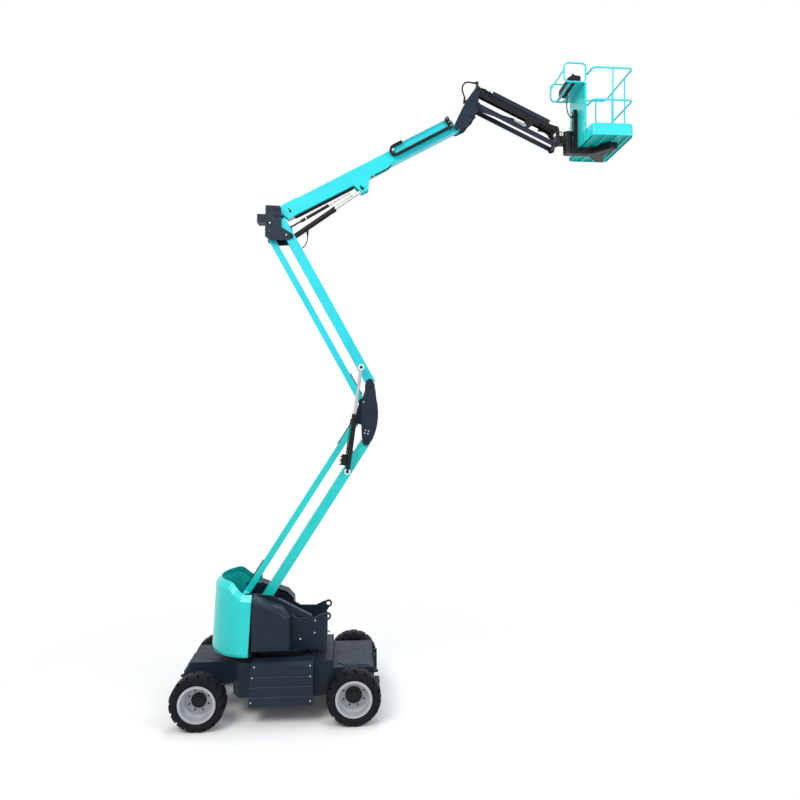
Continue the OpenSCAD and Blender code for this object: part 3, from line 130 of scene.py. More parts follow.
def calculate(tree, operation, first, second):
    """Result of a maths node; a plain number is set on the socket."""
    node = tree.nodes.new("ShaderNodeMath")
    node.operation = operation
    for socket, value in zip(node.inputs, (first, second)):
        if isinstance(value, (int, float)):
            socket.default_value = value
        else:
            tree.links.new(value, socket)
    return node.outputs[0]


def ramp(tree, value, low, high, colours):
    """Two colours or greys between two values of a socket; returns the colour socket."""
    node = tree.nodes.new("ShaderNodeValToRGB")
    for element, place, colour in zip(node.color_ramp.elements, (low, high), colours):
        element.position = place
        element.color = (*colour, 1)
    tree.links.new(value, node.inputs["Fac"])
    return node.outputs["Color"]


def grey(value):
    return (value, value, value)


def mix(tree, factor, first, second):
    """Second colour over the first; a plain colour is set on the socket."""
    node = tree.nodes.new("ShaderNodeMix")
    node.data_type = "RGBA"
    tree.links.new(factor, node.inputs["Factor"])
    for socket, value in ((node.inputs["A"], first), (node.inputs["B"], second)):
        if isinstance(value, tuple):
            socket.default_value = (*value, 1)
        else:
            tree.links.new(value, socket)
    return node.outputs["Result"]


def bump(tree, bsdf, height, distance, strength):
    node = tree.nodes.new("ShaderNodeBump")
    node.inputs["Distance"].default_value = distance
    node.inputs["Strength"].default_value = strength
    tree.links.new(height, node.inputs["Height"])
    previous = bsdf.inputs["Normal"].links
    if previous:
        tree.links.new(previous[0].from_socket, node.inputs["Normal"])
    tree.links.new(node.outputs["Normal"], bsdf.inputs["Normal"])


def shade(colour, factor):
    return tuple(min(1.0, c * factor) for c in colour)


DUST = (0.20, 0.19, 0.17)


def paint(name, colour, roughness, coat, dust, edge_wear_and_highlight=1.0, sheen=0.3):
    """Sprayed enamel: slight tone drift, orange peel, thin scratches and dust in patches."""
    material, tree, bsdf = new_material(name)
    bsdf.inputs["Specular IOR Level"].default_value = sheen
    # The edge factor lightens the paint: on bevel faces this is partly worn paint and partly painted highlight.
    tone = ramp(tree, noise(tree, 1.7, 5), 0.3, 0.7, (shade(colour, 0.9 * edge_wear_and_highlight), shade(colour, 1.06 * edge_wear_and_highlight)))
    patches = ramp(tree, noise(tree, 4.2, 8), 0.52, 0.78, (grey(0), grey(dust)))
    tree.links.new(mix(tree, patches, tone, DUST), bsdf.inputs["Base Color"])
    rough = ramp(tree, noise(tree, 9, 6), 0.25, 0.75, (grey(roughness * 0.8), grey(roughness * 1.3)))
    tree.links.new(rough, bsdf.inputs["Roughness"])
    bsdf.inputs["Coat Weight"].default_value = coat
    bsdf.inputs["Coat Roughness"].default_value = 0.12
    bump(tree, bsdf, noise(tree, 260, 2), 0.00025, 0.5)
    bump(tree, bsdf, noise(tree, 30, 3, (1, 14, 1)), 0.00012, 0.35)
    return material


def metal(name, colour, roughness, grain, dirt):
    """Bare or plated metal with a fine directional grain and dull patches."""
    material, tree, bsdf = new_material(name)
    tone = ramp(tree, noise(tree, 14, 5), 0.35, 0.75, (colour, shade(colour, dirt)))
    tree.links.new(tone, bsdf.inputs["Base Color"])
    rough = ramp(tree, noise(tree, 40, 5), 0.3, 0.7, (grey(roughness), grey(roughness * 1.8)))
    tree.links.new(rough, bsdf.inputs["Roughness"])
    bsdf.inputs["Metallic"].default_value = 1.0
    bump(tree, bsdf, noise(tree, grain, 2, (1, 6, 1)), 0.00003, 0.2)
    return material


def rubber(name, colour, dust, rings_round=None):
    """Black rubber or moulded plastic with a fine grain and dust; a tyre has rings round its axle."""
    material, tree, bsdf = new_material(name)
    tone = ramp(tree, noise(tree, 6, 6), 0.3, 0.75, (shade(colour, 0.8), shade(colour, 1.5)))
    patches = ramp(tree, noise(tree, 11, 9), 0.5, 0.85, (grey(0), grey(dust)))
    tree.links.new(mix(tree, patches, tone, DUST), bsdf.inputs["Base Color"])
    rough = ramp(tree, noise(tree, 22, 5), 0.3, 0.7, (grey(0.5), grey(0.75)))
    tree.links.new(rough, bsdf.inputs["Roughness"])
    bsdf.inputs["Specular IOR Level"].default_value = 0.15
    bump(tree, bsdf, noise(tree, 420, 3), 0.0004, 0.6)
    if rings_round is not None:
        distance = tree.nodes.new("ShaderNodeVectorMath")
        distance.operation = "DISTANCE"
        distance.inputs[1].default_value = (rings_round.x, 0, rings_round.z)
        tree.links.new(place_socket(tree, (1, 0, 1)), distance.inputs[0])
        waves = calculate(tree, "SINE", calculate(tree, "MULTIPLY", distance.outputs["Value"], 420), 0)
        bump(tree, bsdf, waves, 0.0012, 0.5)
    return material


def tread_plate(name, colour):
    """Painted floor of pressed mesh: a grid of small diamond openings, coloured dark as painted shade in place of
    real openings cut through.
    """
    material, tree, bsdf = new_material(name)
    split = tree.nodes.new("ShaderNodeSeparateXYZ")
    tree.links.new(place_socket(tree), split.inputs[0])
    waves = []
    for operation in ("ADD", "SUBTRACT"):
        lean = calculate(tree, operation, split.outputs["X"], split.outputs["Y"])
        waves.append(calculate(tree, "SINE", calculate(tree, "MULTIPLY", lean, 150), 0))
    grid = calculate(tree, "MULTIPLY", waves[0], waves[1])
    tone = ramp(tree, noise(tree, 2.5, 6), 0.3, 0.7, (shade(colour, 0.85), shade(colour, 1.1)))
    # Painted shade: the diamond openings are coloured dark instead of being cut through.
    painted_shade_holes = ramp(tree, grid, 0.15, 0.45, (grey(0), grey(0.55)))
    tree.links.new(mix(tree, painted_shade_holes, tone, shade(colour, 0.25)), bsdf.inputs["Base Color"])
    bsdf.inputs["Roughness"].default_value = 0.45
    bump(tree, bsdf, grid, 0.002, 0.6)
    return material


TEAL = (0.010, 0.62, 0.60)
# Painted light: a lighter, bluer copy of the teal for the upper parts, standing in for the brighter light on them.
LIT_TEAL = (0.014, 0.62, 0.70)
NAVY = (0.009, 0.019, 0.034)
BLACK = (0.005, 0.006, 0.008)
SILVER = (0.40, 0.43, 0.46)
TYRE = (0.004, 0.005, 0.007)

FINISH = {
    "teal_paint": paint("teal_enamel", TEAL, 0.32, 0.3, 0.03),
    "navy_paint": paint("navy_enamel", NAVY, 0.45, 0.05, 0.02, 1.0, 0.2),
    "black_paint": paint("black_enamel", BLACK, 0.4, 0.05, 0.02, 1.0, 0.2),
    "chrome_rod": metal("hard_chrome", (0.56, 0.58, 0.60), 0.20, 300, 0.9),
    "bare_steel": metal("ground_steel", (0.60, 0.61, 0.62), 0.32, 180, 0.85),
    "tyre_rubber": rubber("tyre_rubber", TYRE, 0.03),
    "rim_silver": paint("silver_enamel", SILVER, 0.4, 0.1, 0.12),
    "cast_block": rubber("cast_paint", (0.02, 0.021, 0.024), 0.15),
    "black_plastic": rubber("black_plastic", (0.012, 0.013, 0.015), 0.05),
    "hose_rubber": rubber("hose_rubber", (0.008, 0.008, 0.009), 0.03),
}
# Edge finishes for bevel faces: lighter paint with more dust, partly worn paint and partly painted highlight along
# the edges.
EDGE_WEAR_AND_HIGHLIGHT = {
    "teal_paint": paint("teal_edge", TEAL, 0.38, 0.3, 0.06, 1.08),
    "navy_paint": paint("navy_edge", NAVY, 0.42, 0.1, 0.08, 1.7),
    "black_paint": paint("black_edge", BLACK, 0.42, 0.1, 0.06, 1.6),
    "rim_silver": paint("silver_edge", SILVER, 0.45, 0.1, 0.2, 1.0),
}
ZINC = metal("zinc_plate", (0.55, 0.56, 0.57), 0.28, 220, 0.75)
DARK = metal("black_oxide", (0.03, 0.032, 0.035), 0.4, 220, 0.7)
RED = paint("red_plastic", (0.5, 0.02, 0.015), 0.35, 0.1, 0.02)
PALE = paint("pale_plastic", (0.74, 0.76, 0.75), 0.4, 0.1, 0.06)
FLOOR_MESH = tread_plate("floor_mesh", TEAL)
# Painted light: the upper parts take the lighter, bluer copy of the teal paint.
TEAL_WITH_PAINTED_LIGHT = paint("teal_with_painted_light", LIT_TEAL, 0.32, 0.3, 0.03)
UPPER_NODES = ("boom", "fly_boom", "upper_arm", "upper_link", "toe_board", "platform_rails",
               "console_guard", "gate")


# Making pieces

SMOOTH_ANGLE = 35
BEVEL_ANGLE = 38


def put(name, mesh_maker, material, body):
    """New mesh piece on a body; mesh_maker fills a bmesh in the frame's metres."""
    bm = bmesh.new()
    mesh_maker(bm)
    bmesh.ops.recalc_face_normals(bm, faces=bm.faces)
    mesh = bpy.data.meshes.new(name)
    bm.to_mesh(mesh)
    bm.free()
    for polygon in mesh.polygons:
        polygon.use_smooth = True
    mesh.set_sharp_from_angle(angle=math.radians(SMOOTH_ANGLE))
    mesh.materials.append(material)
    piece = add_object(name, mesh)
    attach(piece, body)
    return piece


def standing(place, axis):
    """Matrix that stands a shape on a place, with its Z along an axis."""
    return Matrix.Translation(place) @ Vector(axis).to_track_quat("Z", "Y").to_matrix().to_4x4()


def turned(bm, profile, place, axis, sides):
    """Turned solid: profile is (radius, height) pairs from the foot up, set on place along axis."""
    matrix = standing(place, axis)
    rings = []
    for radius, height in profile:
        ring = []
        for i in range(sides):
            a = 2 * math.pi * i / sides
            ring.append(bm.verts.new(matrix @ Vector((radius * math.cos(a), radius * math.sin(a), height))))
        rings.append(ring)
    for lower, upper in zip(rings, rings[1:]):
        for i in range(sides):
            j = (i + 1) % sides
            bm.faces.new((lower[i], lower[j], upper[j], upper[i]))
    bm.faces.new(reversed(rings[0]))
    bm.faces.new(rings[-1])


def ring_round(bm, inner, outer, height, place, axis, sides=40):
    """Flat ring with chamfered edges, standing on place along axis."""
    c = min(height, outer - inner) * 0.25
    profile = [(inner, 0), (outer, 0), (outer, height - c), (outer - c, height), (inner + c, height),
               (inner, height - c)]
    matrix = standing(place, axis)
    rings = []
    for i in range(sides):
        a = 2 * math.pi * i / sides
        rings.append([bm.verts.new(matrix @ Vector((r * math.cos(a), r * math.sin(a), h)))
                      for r, h in profile])
    for i in range(sides):
        one, two = rings[i], rings[(i + 1) % sides]
        for j in range(len(profile)):
            k = (j + 1) % len(profile)
            bm.faces.new((one[j], two[j], two[k], one[k]))


def block(bm, centre, size, angle=0.0, chamfer=0.004):
    """Box with chamfered edges, turned in the side view by an angle in degrees."""
    made = bmesh.ops.create_cube(bm, size=1.0)["verts"]
    turn = Matrix.Rotation(-math.radians(angle), 4, "Y")
    matrix = Matrix.Translation(centre) @ turn @ Matrix.Diagonal((*size, 1))
    bmesh.ops.transform(bm, matrix=matrix, verts=made)
    edges = {edge for vert in made for edge in vert.link_edges}
    bmesh.ops.bevel(bm, geom=list(edges), offset=chamfer, segments=2, affect="EDGES", profile=0.5)


def plate(bm, outline, y0, y1):
    """Flat plate between two Y values; outline is plan points in the side view."""
    rings = [[bm.verts.new(plan(x, y, z)) for x, z in outline] for y in (y0, y1)]
    for ring in rings:
        bm.faces.new(ring)
    for i in range(len(outline)):
        j = (i + 1) % len(outline)
        bm.faces.new((rings[0][i], rings[0][j], rings[1][j], rings[1][i]))


def bolt(bm, place, axis, size):
    """Washer and hexagon head with a chamfered top; size is the thread's diameter."""
    foot = Vector(place) - Vector(axis).normalized() * 0.0004
    turned(bm, [(size * 1.15, 0), (size * 1.15, size * 0.18), (size * 1.08, size * 0.24)], foot, axis, 20)
    head = foot + Vector(axis).normalized() * size * 0.22
    turned(bm, [(size * 0.95, 0), (size * 0.95, size * 0.52), (size * 0.78, size * 0.64)], head, axis, 6)


def bolts(name, body, places, axis, size, material=ZINC):
    """A set of bolts as one piece."""
    put(name, lambda bm: [bolt(bm, p, axis, size) for p in places], material, body)


def soften(piece, edge_material, width):
    """Rounded edges in a lighter edge finish, partly worn paint and partly painted highlight, on a piece that has
    one material.
    """
    piece.data.materials.append(edge_material)
    bevel = piece.modifiers.new("edges", "BEVEL")
    bevel.width = width
    bevel.segments = 2
    bevel.limit_method = "ANGLE"
    bevel.angle_limit = math.radians(BEVEL_ANGLE)
    bevel.material = 1


def smooth_path(points, steps=8):
    """Points on a smooth curve through the given ones."""
    path = []
    ends_twice = [points[0], *points, points[-1]]
    for a, b, c, d in zip(ends_twice, ends_twice[1:], ends_twice[2:], ends_twice[3:]):
        for i in range(steps):
            t = i / steps
            path.append(0.5 * (2 * b + (c - a) * t + (2 * a - 5 * b + 4 * c - d) * t * t
                               + (3 * b - a - 3 * c + d) * t ** 3))
    return [*path, points[-1]]


def tube(name, path, diameter, material, body):
    """Round tube along a path, as a curve."""
    curve = bpy.data.curves.new(name, "CURVE")
    curve.dimensions = "3D"
    curve.bevel_depth = diameter / 2
    curve.bevel_resolution = 4
    curve.use_fill_caps = True
    spline = curve.splines.new("POLY")
    spline.points.add(len(path) - 1)
    for point, place in zip(spline.points, path):
        point.co = (*place, 1)
    curve.materials.append(material)
    piece = add_object(name, curve)
    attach(piece, body)
    return piece


# Cords

CORDS = (
    ("hose_jib", "jib_base", pivot("jib_luff"), -0.120, 0.026, "stiff", "loose",
     ((-0.230, -0.190), (-0.230, -0.135), (-0.250, -0.070), (-0.268, 0), (-0.255, 0.070), (-0.212, 0.118),
      (-0.150, 0.130), (-0.090, 0.120), (-0.030, 0.120))),
    ("hose_lift", "lift_barrel", pivot("lift_barrel_pivot"), 0, 0.016, "medium", "hanging",
     ((0.270, 0.080), (0.270, 0.020), (0.258, -0.050), (0.222, -0.115), (0.165, -0.160), (0.100, -0.175),
      (0.045, -0.162), (0, -0.120), (0, -0.075))),
    ("console_cable", "platform", pivot("platform_turn") + Vector((-0.022, 0, 0.694)), -0.040, 0.018,
     "medium", "hanging",
     ((0, 0), (0, -0.100), (-0.006, -0.200), (-0.004, -0.290), (0.014, -0.365), (0.040, -0.410),
      (0.064, -0.430), (0.090, -0.430))),
)


def make_cords():
    for node, body, origin, y, diameter, stiffness, lay, route in CORDS:
        path = smooth_path([Vector((origin.x + x, y, origin.z + z)) for x, z in route])
        piece = tube(f"{node}_line", path, diameter, FINISH["hose_rubber"], body)
        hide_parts(node)
        ends = ((path[0], path[1] - path[0]), (path[-1], path[-2] - path[-1]))
        r = diameter / 2
        sleeves = put(f"{node}_sleeves", lambda bm: [
            turned(bm, [(r * 1.45, 0.0005), (r * 1.45, r * 1.6), (r * 1.25, r * 2), (r * 1.25, r * 4.6),
                        (r * 1.08, r * 5)], place, way, 20) for place, way in ends], DARK, body)


# CAD nodes: finish and softened edges

EDGE_WIDTH = 0.004
WELD_GAP = 0.00002
ROUND_NODES = ("tyre", "rim", "rod", "rails", "guard", "gate", "barrel")


def dress_nodes():
    for name, node in NODES.items():
        slot = SLOT_OF[name]
        main = FINISH[slot]
        if name.startswith("tyre"):
            main = rubber(f"{name}_rubber", TYRE, 0.03, pivot(name.replace("tyre", "roll")))
        if name == "platform_floor":
            main = FLOOR_MESH
        # Upper parts take the teal with painted light.
        if name in UPPER_NODES:
            main = TEAL_WITH_PAINTED_LIGHT
        node.data.materials.clear()
        node.data.materials.append(main)
        weld = node.modifiers.new("weld", "WELD")
        weld.merge_threshold = WELD_GAP
        narrow = any(word in name for word in ROUND_NODES)
        # Bevel faces take the lighter edge finish: partly worn paint, partly painted highlight.
        soften(node, EDGE_WEAR_AND_HIGHLIGHT.get(slot, main), EDGE_WIDTH / 2 if narrow else EDGE_WIDTH)


# Wheels

DISH_IN = 0.065
CAP_IN = 0.033


def wheels():
    for wheel, hub_r, circle in (("steer", 0.115, 0.158), ("drive", 0.130, 0.170)):
        for side, side_name in SIDES:
            centre = pivot(f"roll_{wheel}_{side_name}")
            rim = NODES[f"rim_{wheel}_{side_name}"]
            rim.data.materials.append(FINISH["black_paint"])
            for polygon in rim.data.polygons:
                p = polygon.center
                if math.hypot(p.x - centre.x, p.z - centre.z) < hub_r + 0.001:
                    polygon.material_index = 2
            axis = (0, side, 0)
            body = f"wheel_{wheel}_{side_name}"

            def on_circle(radius, inward, count):
                y = centre.y - side * inward
                return [Vector((centre.x + radius * math.cos(a), y, centre.z + radius * math.sin(a)))
                        for a in (2 * math.pi * (i + 0.5) / count for i in range(count))]

            bolts(f"wheel_bolts_{wheel}_{side_name}", body, on_circle(circle, DISH_IN, 8), axis, 0.013, DARK)
            cap = Vector((centre.x, centre.y - side * CAP_IN, centre.z))
            cap_r = hub_r * 0.62
            cap_profile = [(cap_r, -0.0005), (cap_r, 0.010), (cap_r - 0.006, 0.016), (cap_r * 0.45, 0.016),
                           (cap_r * 0.42, 0.020), (cap_r * 0.3, 0.024)]
            put(f"hub_cap_{wheel}_{side_name}", lambda bm: turned(bm, cap_profile, cap, axis, 48),
                FINISH["black_paint"], body)
            bolts(f"hub_bolts_{wheel}_{side_name}", body, on_circle(hub_r * 0.78, CAP_IN, 10), axis, 0.006,
                  DARK)


# Chassis and turntable

def chassis_trim():
    low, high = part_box("side_boxes")
    edge_bolts = ((-0.345, 0.936), (-0.378, 0.770), (-0.400, 0.385), (0.520, 0.936), (0.520, 0.770),
                  (0.520, 0.385))
    for side, side_name in SIDES:
        y = low.y if side == NEAR else high.y
        bolts(f"side_box_bolts_{side_name}", "chassis", [plan(x, y, z) for x, z in edge_bolts], (0, side, 0),
              0.011)


def turntable_trim():
    mast_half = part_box("mast_plates")[1].y - 0.002
    for side, side_name in SIDES:
        places = [plan(x, side * mast_half, z) for x, z in ((0.575, 1.470), (0.563, 1.271))]
        bolts(f"mast_bolts_{side_name}", "turntable", places, (0, side, 0), 0.013)
    knob = plan(0.755, -0.34, 1.278)
    put("mast_lock_knob", lambda bm: turned(
        bm, [(0.012, -0.001), (0.012, 0.012), (0.006, 0.014), (0.006, 0.034), (0.016, 0.038), (0.018, 0.048),
             (0.012, 0.056)], knob, (1, 0, 0), 24), DARK, "turntable")
    slot_place = plan(0.331, -mast_half, 1.177)
    put("mast_slot_rim", lambda bm: ring_round(bm, 0.017, 0.030, 0.004, slot_place, (0, NEAR, 0)), DARK,
        "turntable")
    put("mast_slot_plug", lambda bm: turned(
        bm, [(0.0165, -0.001), (0.0165, 0.002), (0.013, 0.003)], slot_place, (0, NEAR, 0), 24), PALE,
        "turntable")


# Riser

LOWER_ARM_A = 57.4
UPPER_ARM_A = 119.0
CHEEK_EDGE = 0.0015


def riser_trim():
    eye_face = 0.315
    pin_end = 0.327
    cylinder_y = 0.290
    eye = along(pivot("upper_arm_pivot"), UPPER_ARM_A, 0.345)
    for name, body, place in (("riser_foot", "lower_arm", pivot("riser_barrel_pivot")),
                              ("riser_eye", "riser_rods", eye)):
        for side, side_name in SIDES:
            axis = (0, side, 0)
            face = Vector((place.x, side * (eye_face + 0.001), place.z))
            put(f"{name}_washer_{side_name}", lambda bm: ring_round(bm, 0.0255, 0.052, 0.009, face, axis),
                PALE, body)
            put(f"{name}_cap_{side_name}", lambda bm: turned(
                bm, [(0.0245, -0.0005), (0.0245, 0.003), (0.021, 0.006), (0.008, 0.006), (0.007, 0.004)],
                Vector((place.x, side * pin_end, place.z)), axis, 32), DARK, body)
    foot = pivot("riser_barrel_pivot")
    angle = math.degrees(math.atan2(eye.z - foot.z, eye.x - foot.x))
    for side, side_name in SIDES:
        y = side * cylinder_y

        def valve(bm):
            block(bm, along(foot, angle, 0.165, 0.082, y), (0.135, 0.062, 0.086), angle)
            for s in (0.108, 0.190):
                turned(bm, [(0.013, -0.001), (0.013, 0.010), (0.009, 0.012), (0.009, 0.020), (0.011, 0.022),
                            (0.011, 0.028)],
                       along(foot, angle, s, 0.124, y), along(Vector(), angle, 0, 1), 18)
            for s in (0.11, 0.22):
                turned(bm, [(0.007, -0.001), (0.007, 0.007), (0.005, 0.009)],
                       along(foot, angle, s, 0.082, y + side * 0.031), (0, side, 0), 6)
        put(f"riser_valve_{side_name}", valve, FINISH["black_plastic"], "riser_barrels")

        def straps(bm):
            for s in (0.33, 0.78):
                ring_round(bm, 0.0422, 0.048, 0.030, along(foot, angle, s, 0, y), along(Vector(), angle, 1))
        put(f"riser_straps_{side_name}", straps, DARK, "riser_barrels")
        pipe = [along(foot, angle, s, n, y) for s, n in ((0.215, 0.100), (0.235, 0.062), (0.300, 0.056),
                                                         (0.800, 0.056), (0.850, 0.050), (0.868, 0.040))]
        tube(f"riser_pipe_{side_name}", smooth_path(pipe, 6), 0.014, DARK, "riser_barrels")


def link_pipes():
    """Short hose lines clipped along the links."""
    line_y = -0.075
    for name, body, joint, angle, n, s0, s1, count in (
            ("lower_link_foot_line", "lower_link", "lower_link_pivot", LOWER_ARM_A, 0.062, 0.10, 0.62, 4),
            ("lower_link_head_line", "lower_link", "lower_link_pivot", LOWER_ARM_A, 0.062, 2.92, 3.30, 2),
            ("upper_link_foot_line", "upper_link", "upper_link_pivot", UPPER_ARM_A, -0.062, 0.10, 0.52, 2)):
        origin = pivot(joint)
        tube(name, [along(origin, angle, s, n, line_y) for s in (s0, s1)], 0.016, FINISH["hose_rubber"], body)
        spots = [s0 + 0.05 + i * (s1 - s0 - 0.10) / (count - 1) for i in range(count)]
        clip_n = n - math.copysign(0.003, n)
        put(f"{name}_clips", lambda bm: [
            block(bm, along(origin, angle, s, clip_n, line_y), (0.030, 0.034, 0.020), angle)
            for s in spots], DARK, body)


def knuckle_trim():
    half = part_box("knuckle")[1].y - 0.010
    cheek_face = half + 0.006
    small = ((1.368, 5.060), (1.400, 4.587), (1.453, 4.572), (1.384, 4.538), (1.440, 4.527))
    cheek = ((1.405, 5.378), (1.416, 5.420), (1.456, 5.448), (1.510, 5.446), (1.552, 5.340), (1.573, 5.230),
             (1.588, 5.073), (1.590, 4.960), (1.585, 4.848), (1.570, 4.720), (1.545, 4.607), (1.512, 4.480),
             (1.472, 4.358), (1.446, 4.340), (1.405, 4.340), (1.368, 4.378), (1.362, 4.480), (1.362, 4.600),
             (1.342, 4.672), (1.330, 4.760), (1.328, 4.950), (1.342, 5.073), (1.375, 5.121), (1.398, 5.202))
    for side, side_name in SIDES:
        skin = put(f"knuckle_cheek_{side_name}", lambda bm: plate(
            bm, cheek, side * (half + 0.0004), side * cheek_face), FINISH["navy_paint"], "knuckle")
        # The cheek's edges take the lighter navy: partly worn paint, partly painted highlight.
        soften(skin, EDGE_WEAR_AND_HIGHLIGHT["navy_paint"], CHEEK_EDGE)
        places = [plan(x, side * cheek_face, z) for x, z in small]
        bolts(f"knuckle_bolts_{side_name}", "knuckle", places, (0, side, 0), 0.012)
    pin_ends("knuckle_pin_ends", "knuckle", ("knuckle_pivot", "upper_arm_pivot"), half + 0.010, 0.034)


def pin_ends(name, body, joints, half, radius):
    """Turned ends on the pins of a plate, with a sunk centre."""
    profile = [(radius, -0.0005), (radius, 0.004), (radius - 0.004, 0.008), (radius * 0.35, 0.008),
               (radius * 0.3, 0.004)]

    def make(bm):
        for joint in joints:
            p = pivot(joint)
            for side in (NEAR, FAR):
                turned(bm, profile, Vector((p.x, side * half, p.z)), (0, side, 0), 36)
    put(name, make, DARK, body)


def head_trim():
    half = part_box("tower_head")[1].y - 0.010
    small = ((-0.190, 8.040), (-0.205, 7.900), (0.081, 7.844))
    for side, side_name in SIDES:
        places = [plan(x, side * half, z) for x, z in small]
        bolts(f"head_bolts_{side_name}", "tower_head", places, (0, side, 0), 0.012)
    pin_ends("head_pin_ends", "tower_head", ("head_pivot", "boom_luff"), half + 0.010, 0.034)
    lift = pivot("lift_barrel_pivot")
    bolts("lift_pin_bolts", "tower_head", [Vector((lift.x, NEAR * half, lift.z))], (0, NEAR, 0), 0.018, DARK)


# Boom

BOOM_A = 28.5
BOOM_HALF = 0.095
BOOM_BOTTOM = -0.202


def boom_trim():
    origin = pivot("boom_luff")
    eye_s, eye_n = 1.457, BOOM_BOTTOM - 0.120
    for side, side_name in SIDES:
        axis = (0, side, 0)
        y = side * BOOM_HALF

        def keeper(bm):
            turned(bm, [(0.027, -0.0005), (0.027, 0.004), (0.023, 0.008), (0.008, 0.008), (0.007, 0.005)],
                   along(origin, BOOM_A, eye_s, eye_n, y), axis, 32)
            block(bm, along(origin, BOOM_A, eye_s - 0.012, eye_n + 0.036, y + side * 0.003),
                  (0.024, 0.008, 0.050), BOOM_A - 20, 0.002)
            turned(bm, [(0.020, -0.0005), (0.020, 0.004), (0.016, 0.006)],
                   along(origin, BOOM_A, 0.190, -0.105, y), axis, 28)
            block(bm, along(origin, BOOM_A, 0.190, -0.075, y + side * 0.003), (0.016, 0.007, 0.050),
                  BOOM_A, 0.002)
        put(f"boom_keepers_{side_name}", keeper, DARK, "boom")
    under_route = ((0.215, 0.004), (0.260, 0.014), (1.320, 0.014), (1.345, 0.004))
    for i, y in enumerate((-0.018, 0.012, 0.042)):
        tube(f"boom_under_line_{i}", [along(origin, BOOM_A, s, BOOM_BOTTOM - n, y) for s, n in under_route],
             0.026, FINISH["hose_rubber"], "boom")
    put("boom_under_clips", lambda bm: [
        block(bm, along(origin, BOOM_A, s, BOOM_BOTTOM - 0.014, 0.012), (0.022, 0.092, 0.030), BOOM_A)
        for s in (0.34, 0.80, 1.24)], DARK, "boom")
    run_n = BOOM_BOTTOM - 0.012
    tube("boom_line", [along(origin, BOOM_A, s, n, -0.060) for s, n in
                       ((1.690, run_n), (1.980, run_n), (2.030, run_n + 0.006), (2.090, run_n + 0.030))],
         0.020, DARK, "boom")
    put("boom_line_clip", lambda bm: block(bm, along(origin, BOOM_A, 1.735, run_n + 0.001, -0.060),
                                           (0.018, 0.040, 0.026), BOOM_A), PALE, "boom")
    level = pivot("level_barrel_pivot")
    far = along(origin, BOOM_A, 1.215, BOOM_BOTTOM - 0.088)
    angle = math.degrees(math.atan2(far.z - level.z, far.x - level.x))
    put("level_clamps", lambda bm: [
        ring_round(bm, 0.0262, 0.0285, 0.022, along(level, angle, s, 0, -0.074), along(Vector(), angle, 1))
        for s in (0.300, 0.760)], PALE, "level_barrel")


def track_trim():
    """Side plates of the cable carrier's links, and the bolts of its end clamp."""
    origin = pivot("boom_luff")
    s0, s1, low_n, high_n = 2.250, 3.325, -0.095, 0.060
    y = -0.188
    mid_n = (low_n + high_n) / 2
    radius = (high_n - low_n) / 2
    pitch = 0.056
    link_size = (0.046, 0.005, 0.030)
    link_edge = 0.0015
    link_y = y - 0.0015
    runs = ((low_n, int((s1 - s0 - 0.07) / pitch)), (high_n, 3))

    def links(bm):
        for n, count in runs:
            for i in range(count):
                centre = along(origin, BOOM_A, s0 + (i + 0.5) * pitch, n, link_y)
                block(bm, centre, link_size, BOOM_A, link_edge)
        for i in range(4):
            a = 90 + 22.5 + i * 45
            centre = along(origin, BOOM_A, s0 + radius * math.cos(math.radians(a)),
                           mid_n + radius * math.sin(math.radians(a)), link_y)
            block(bm, centre, link_size, BOOM_A + a - 90, link_edge)
    put("track_links", links, FINISH["black_plastic"], "fly_boom")
    bolts("track_clamp_bolts", "fly_boom", [along(origin, BOOM_A, s1 - 0.030, n, y) for n in
                                            (low_n + 0.01, mid_n, high_n - 0.01)], (0, NEAR, 0), 0.009)


# Jib

JIB_A = -25.0


def jib_trim():
    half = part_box("jib_base")[1].y
    pin_ends("jib_base_pin_ends", "jib_base", ("jib_luff", "jib_link_pivot"), half, 0.021)
    pin_ends("jib_end_pin_ends", "jib_end", ("jib_end_pivot",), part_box("jib_end")[1].y, 0.021)
    foot = pivot("jib_luff")
    tip = pivot("jib_level")

    def base_switch(bm):
        block(bm, Vector((tip.x + 0.262, -0.172, tip.z + 0.150)), (0.052, 0.026, 0.070), 45)
        turned(bm, [(0.007, -0.001), (0.007, 0.016), (0.004, 0.018)],
               Vector((tip.x + 0.262, -0.184, tip.z + 0.150)), (0, NEAR, 0), 16)
    put("jib_base_switch", base_switch, FINISH["black_plastic"], "jib_base")

    def arm_switch(bm):
        block(bm, along(foot, JIB_A, 1.245, 0.002, -0.061), (0.062, 0.026, 0.030), JIB_A)
        turned(bm, [(0.006, -0.001), (0.006, 0.010), (0.004, 0.012)],
               along(foot, JIB_A, 1.265, 0.002, -0.073), (0, NEAR, 0), 16)
    put("jib_arm_switch", arm_switch, FINISH["black_plastic"], "jib_arm")

    top = 0.068
    line_route = ((0.030, 0.006), (0.060, 0.034), (0.130, 0.034), (0.262, 0.028))
    for i, y in enumerate((-0.034, -0.004)):
        tube(f"jib_line_{i}", smooth_path([along(foot, JIB_A, s, top + n, y) for s, n in line_route], 6),
             0.022, FINISH["hose_rubber"], "jib_arm")
    put("jib_line_clamps", lambda bm: [
        block(bm, along(foot, JIB_A, s, top + 0.024, -0.019), (0.024, 0.090, 0.048), JIB_A)
        for s in (0.115, 0.205)], FINISH["black_plastic"], "jib_arm")
    put("jib_cover_bolts", lambda bm: [
        bolt(bm, along(foot, JIB_A, s, top + 0.022, -0.062), (0, NEAR, 0), 0.006)
        for s in (0.30, 0.57, 0.84, 1.11, 1.32)], DARK, "jib_arm")


# Platform

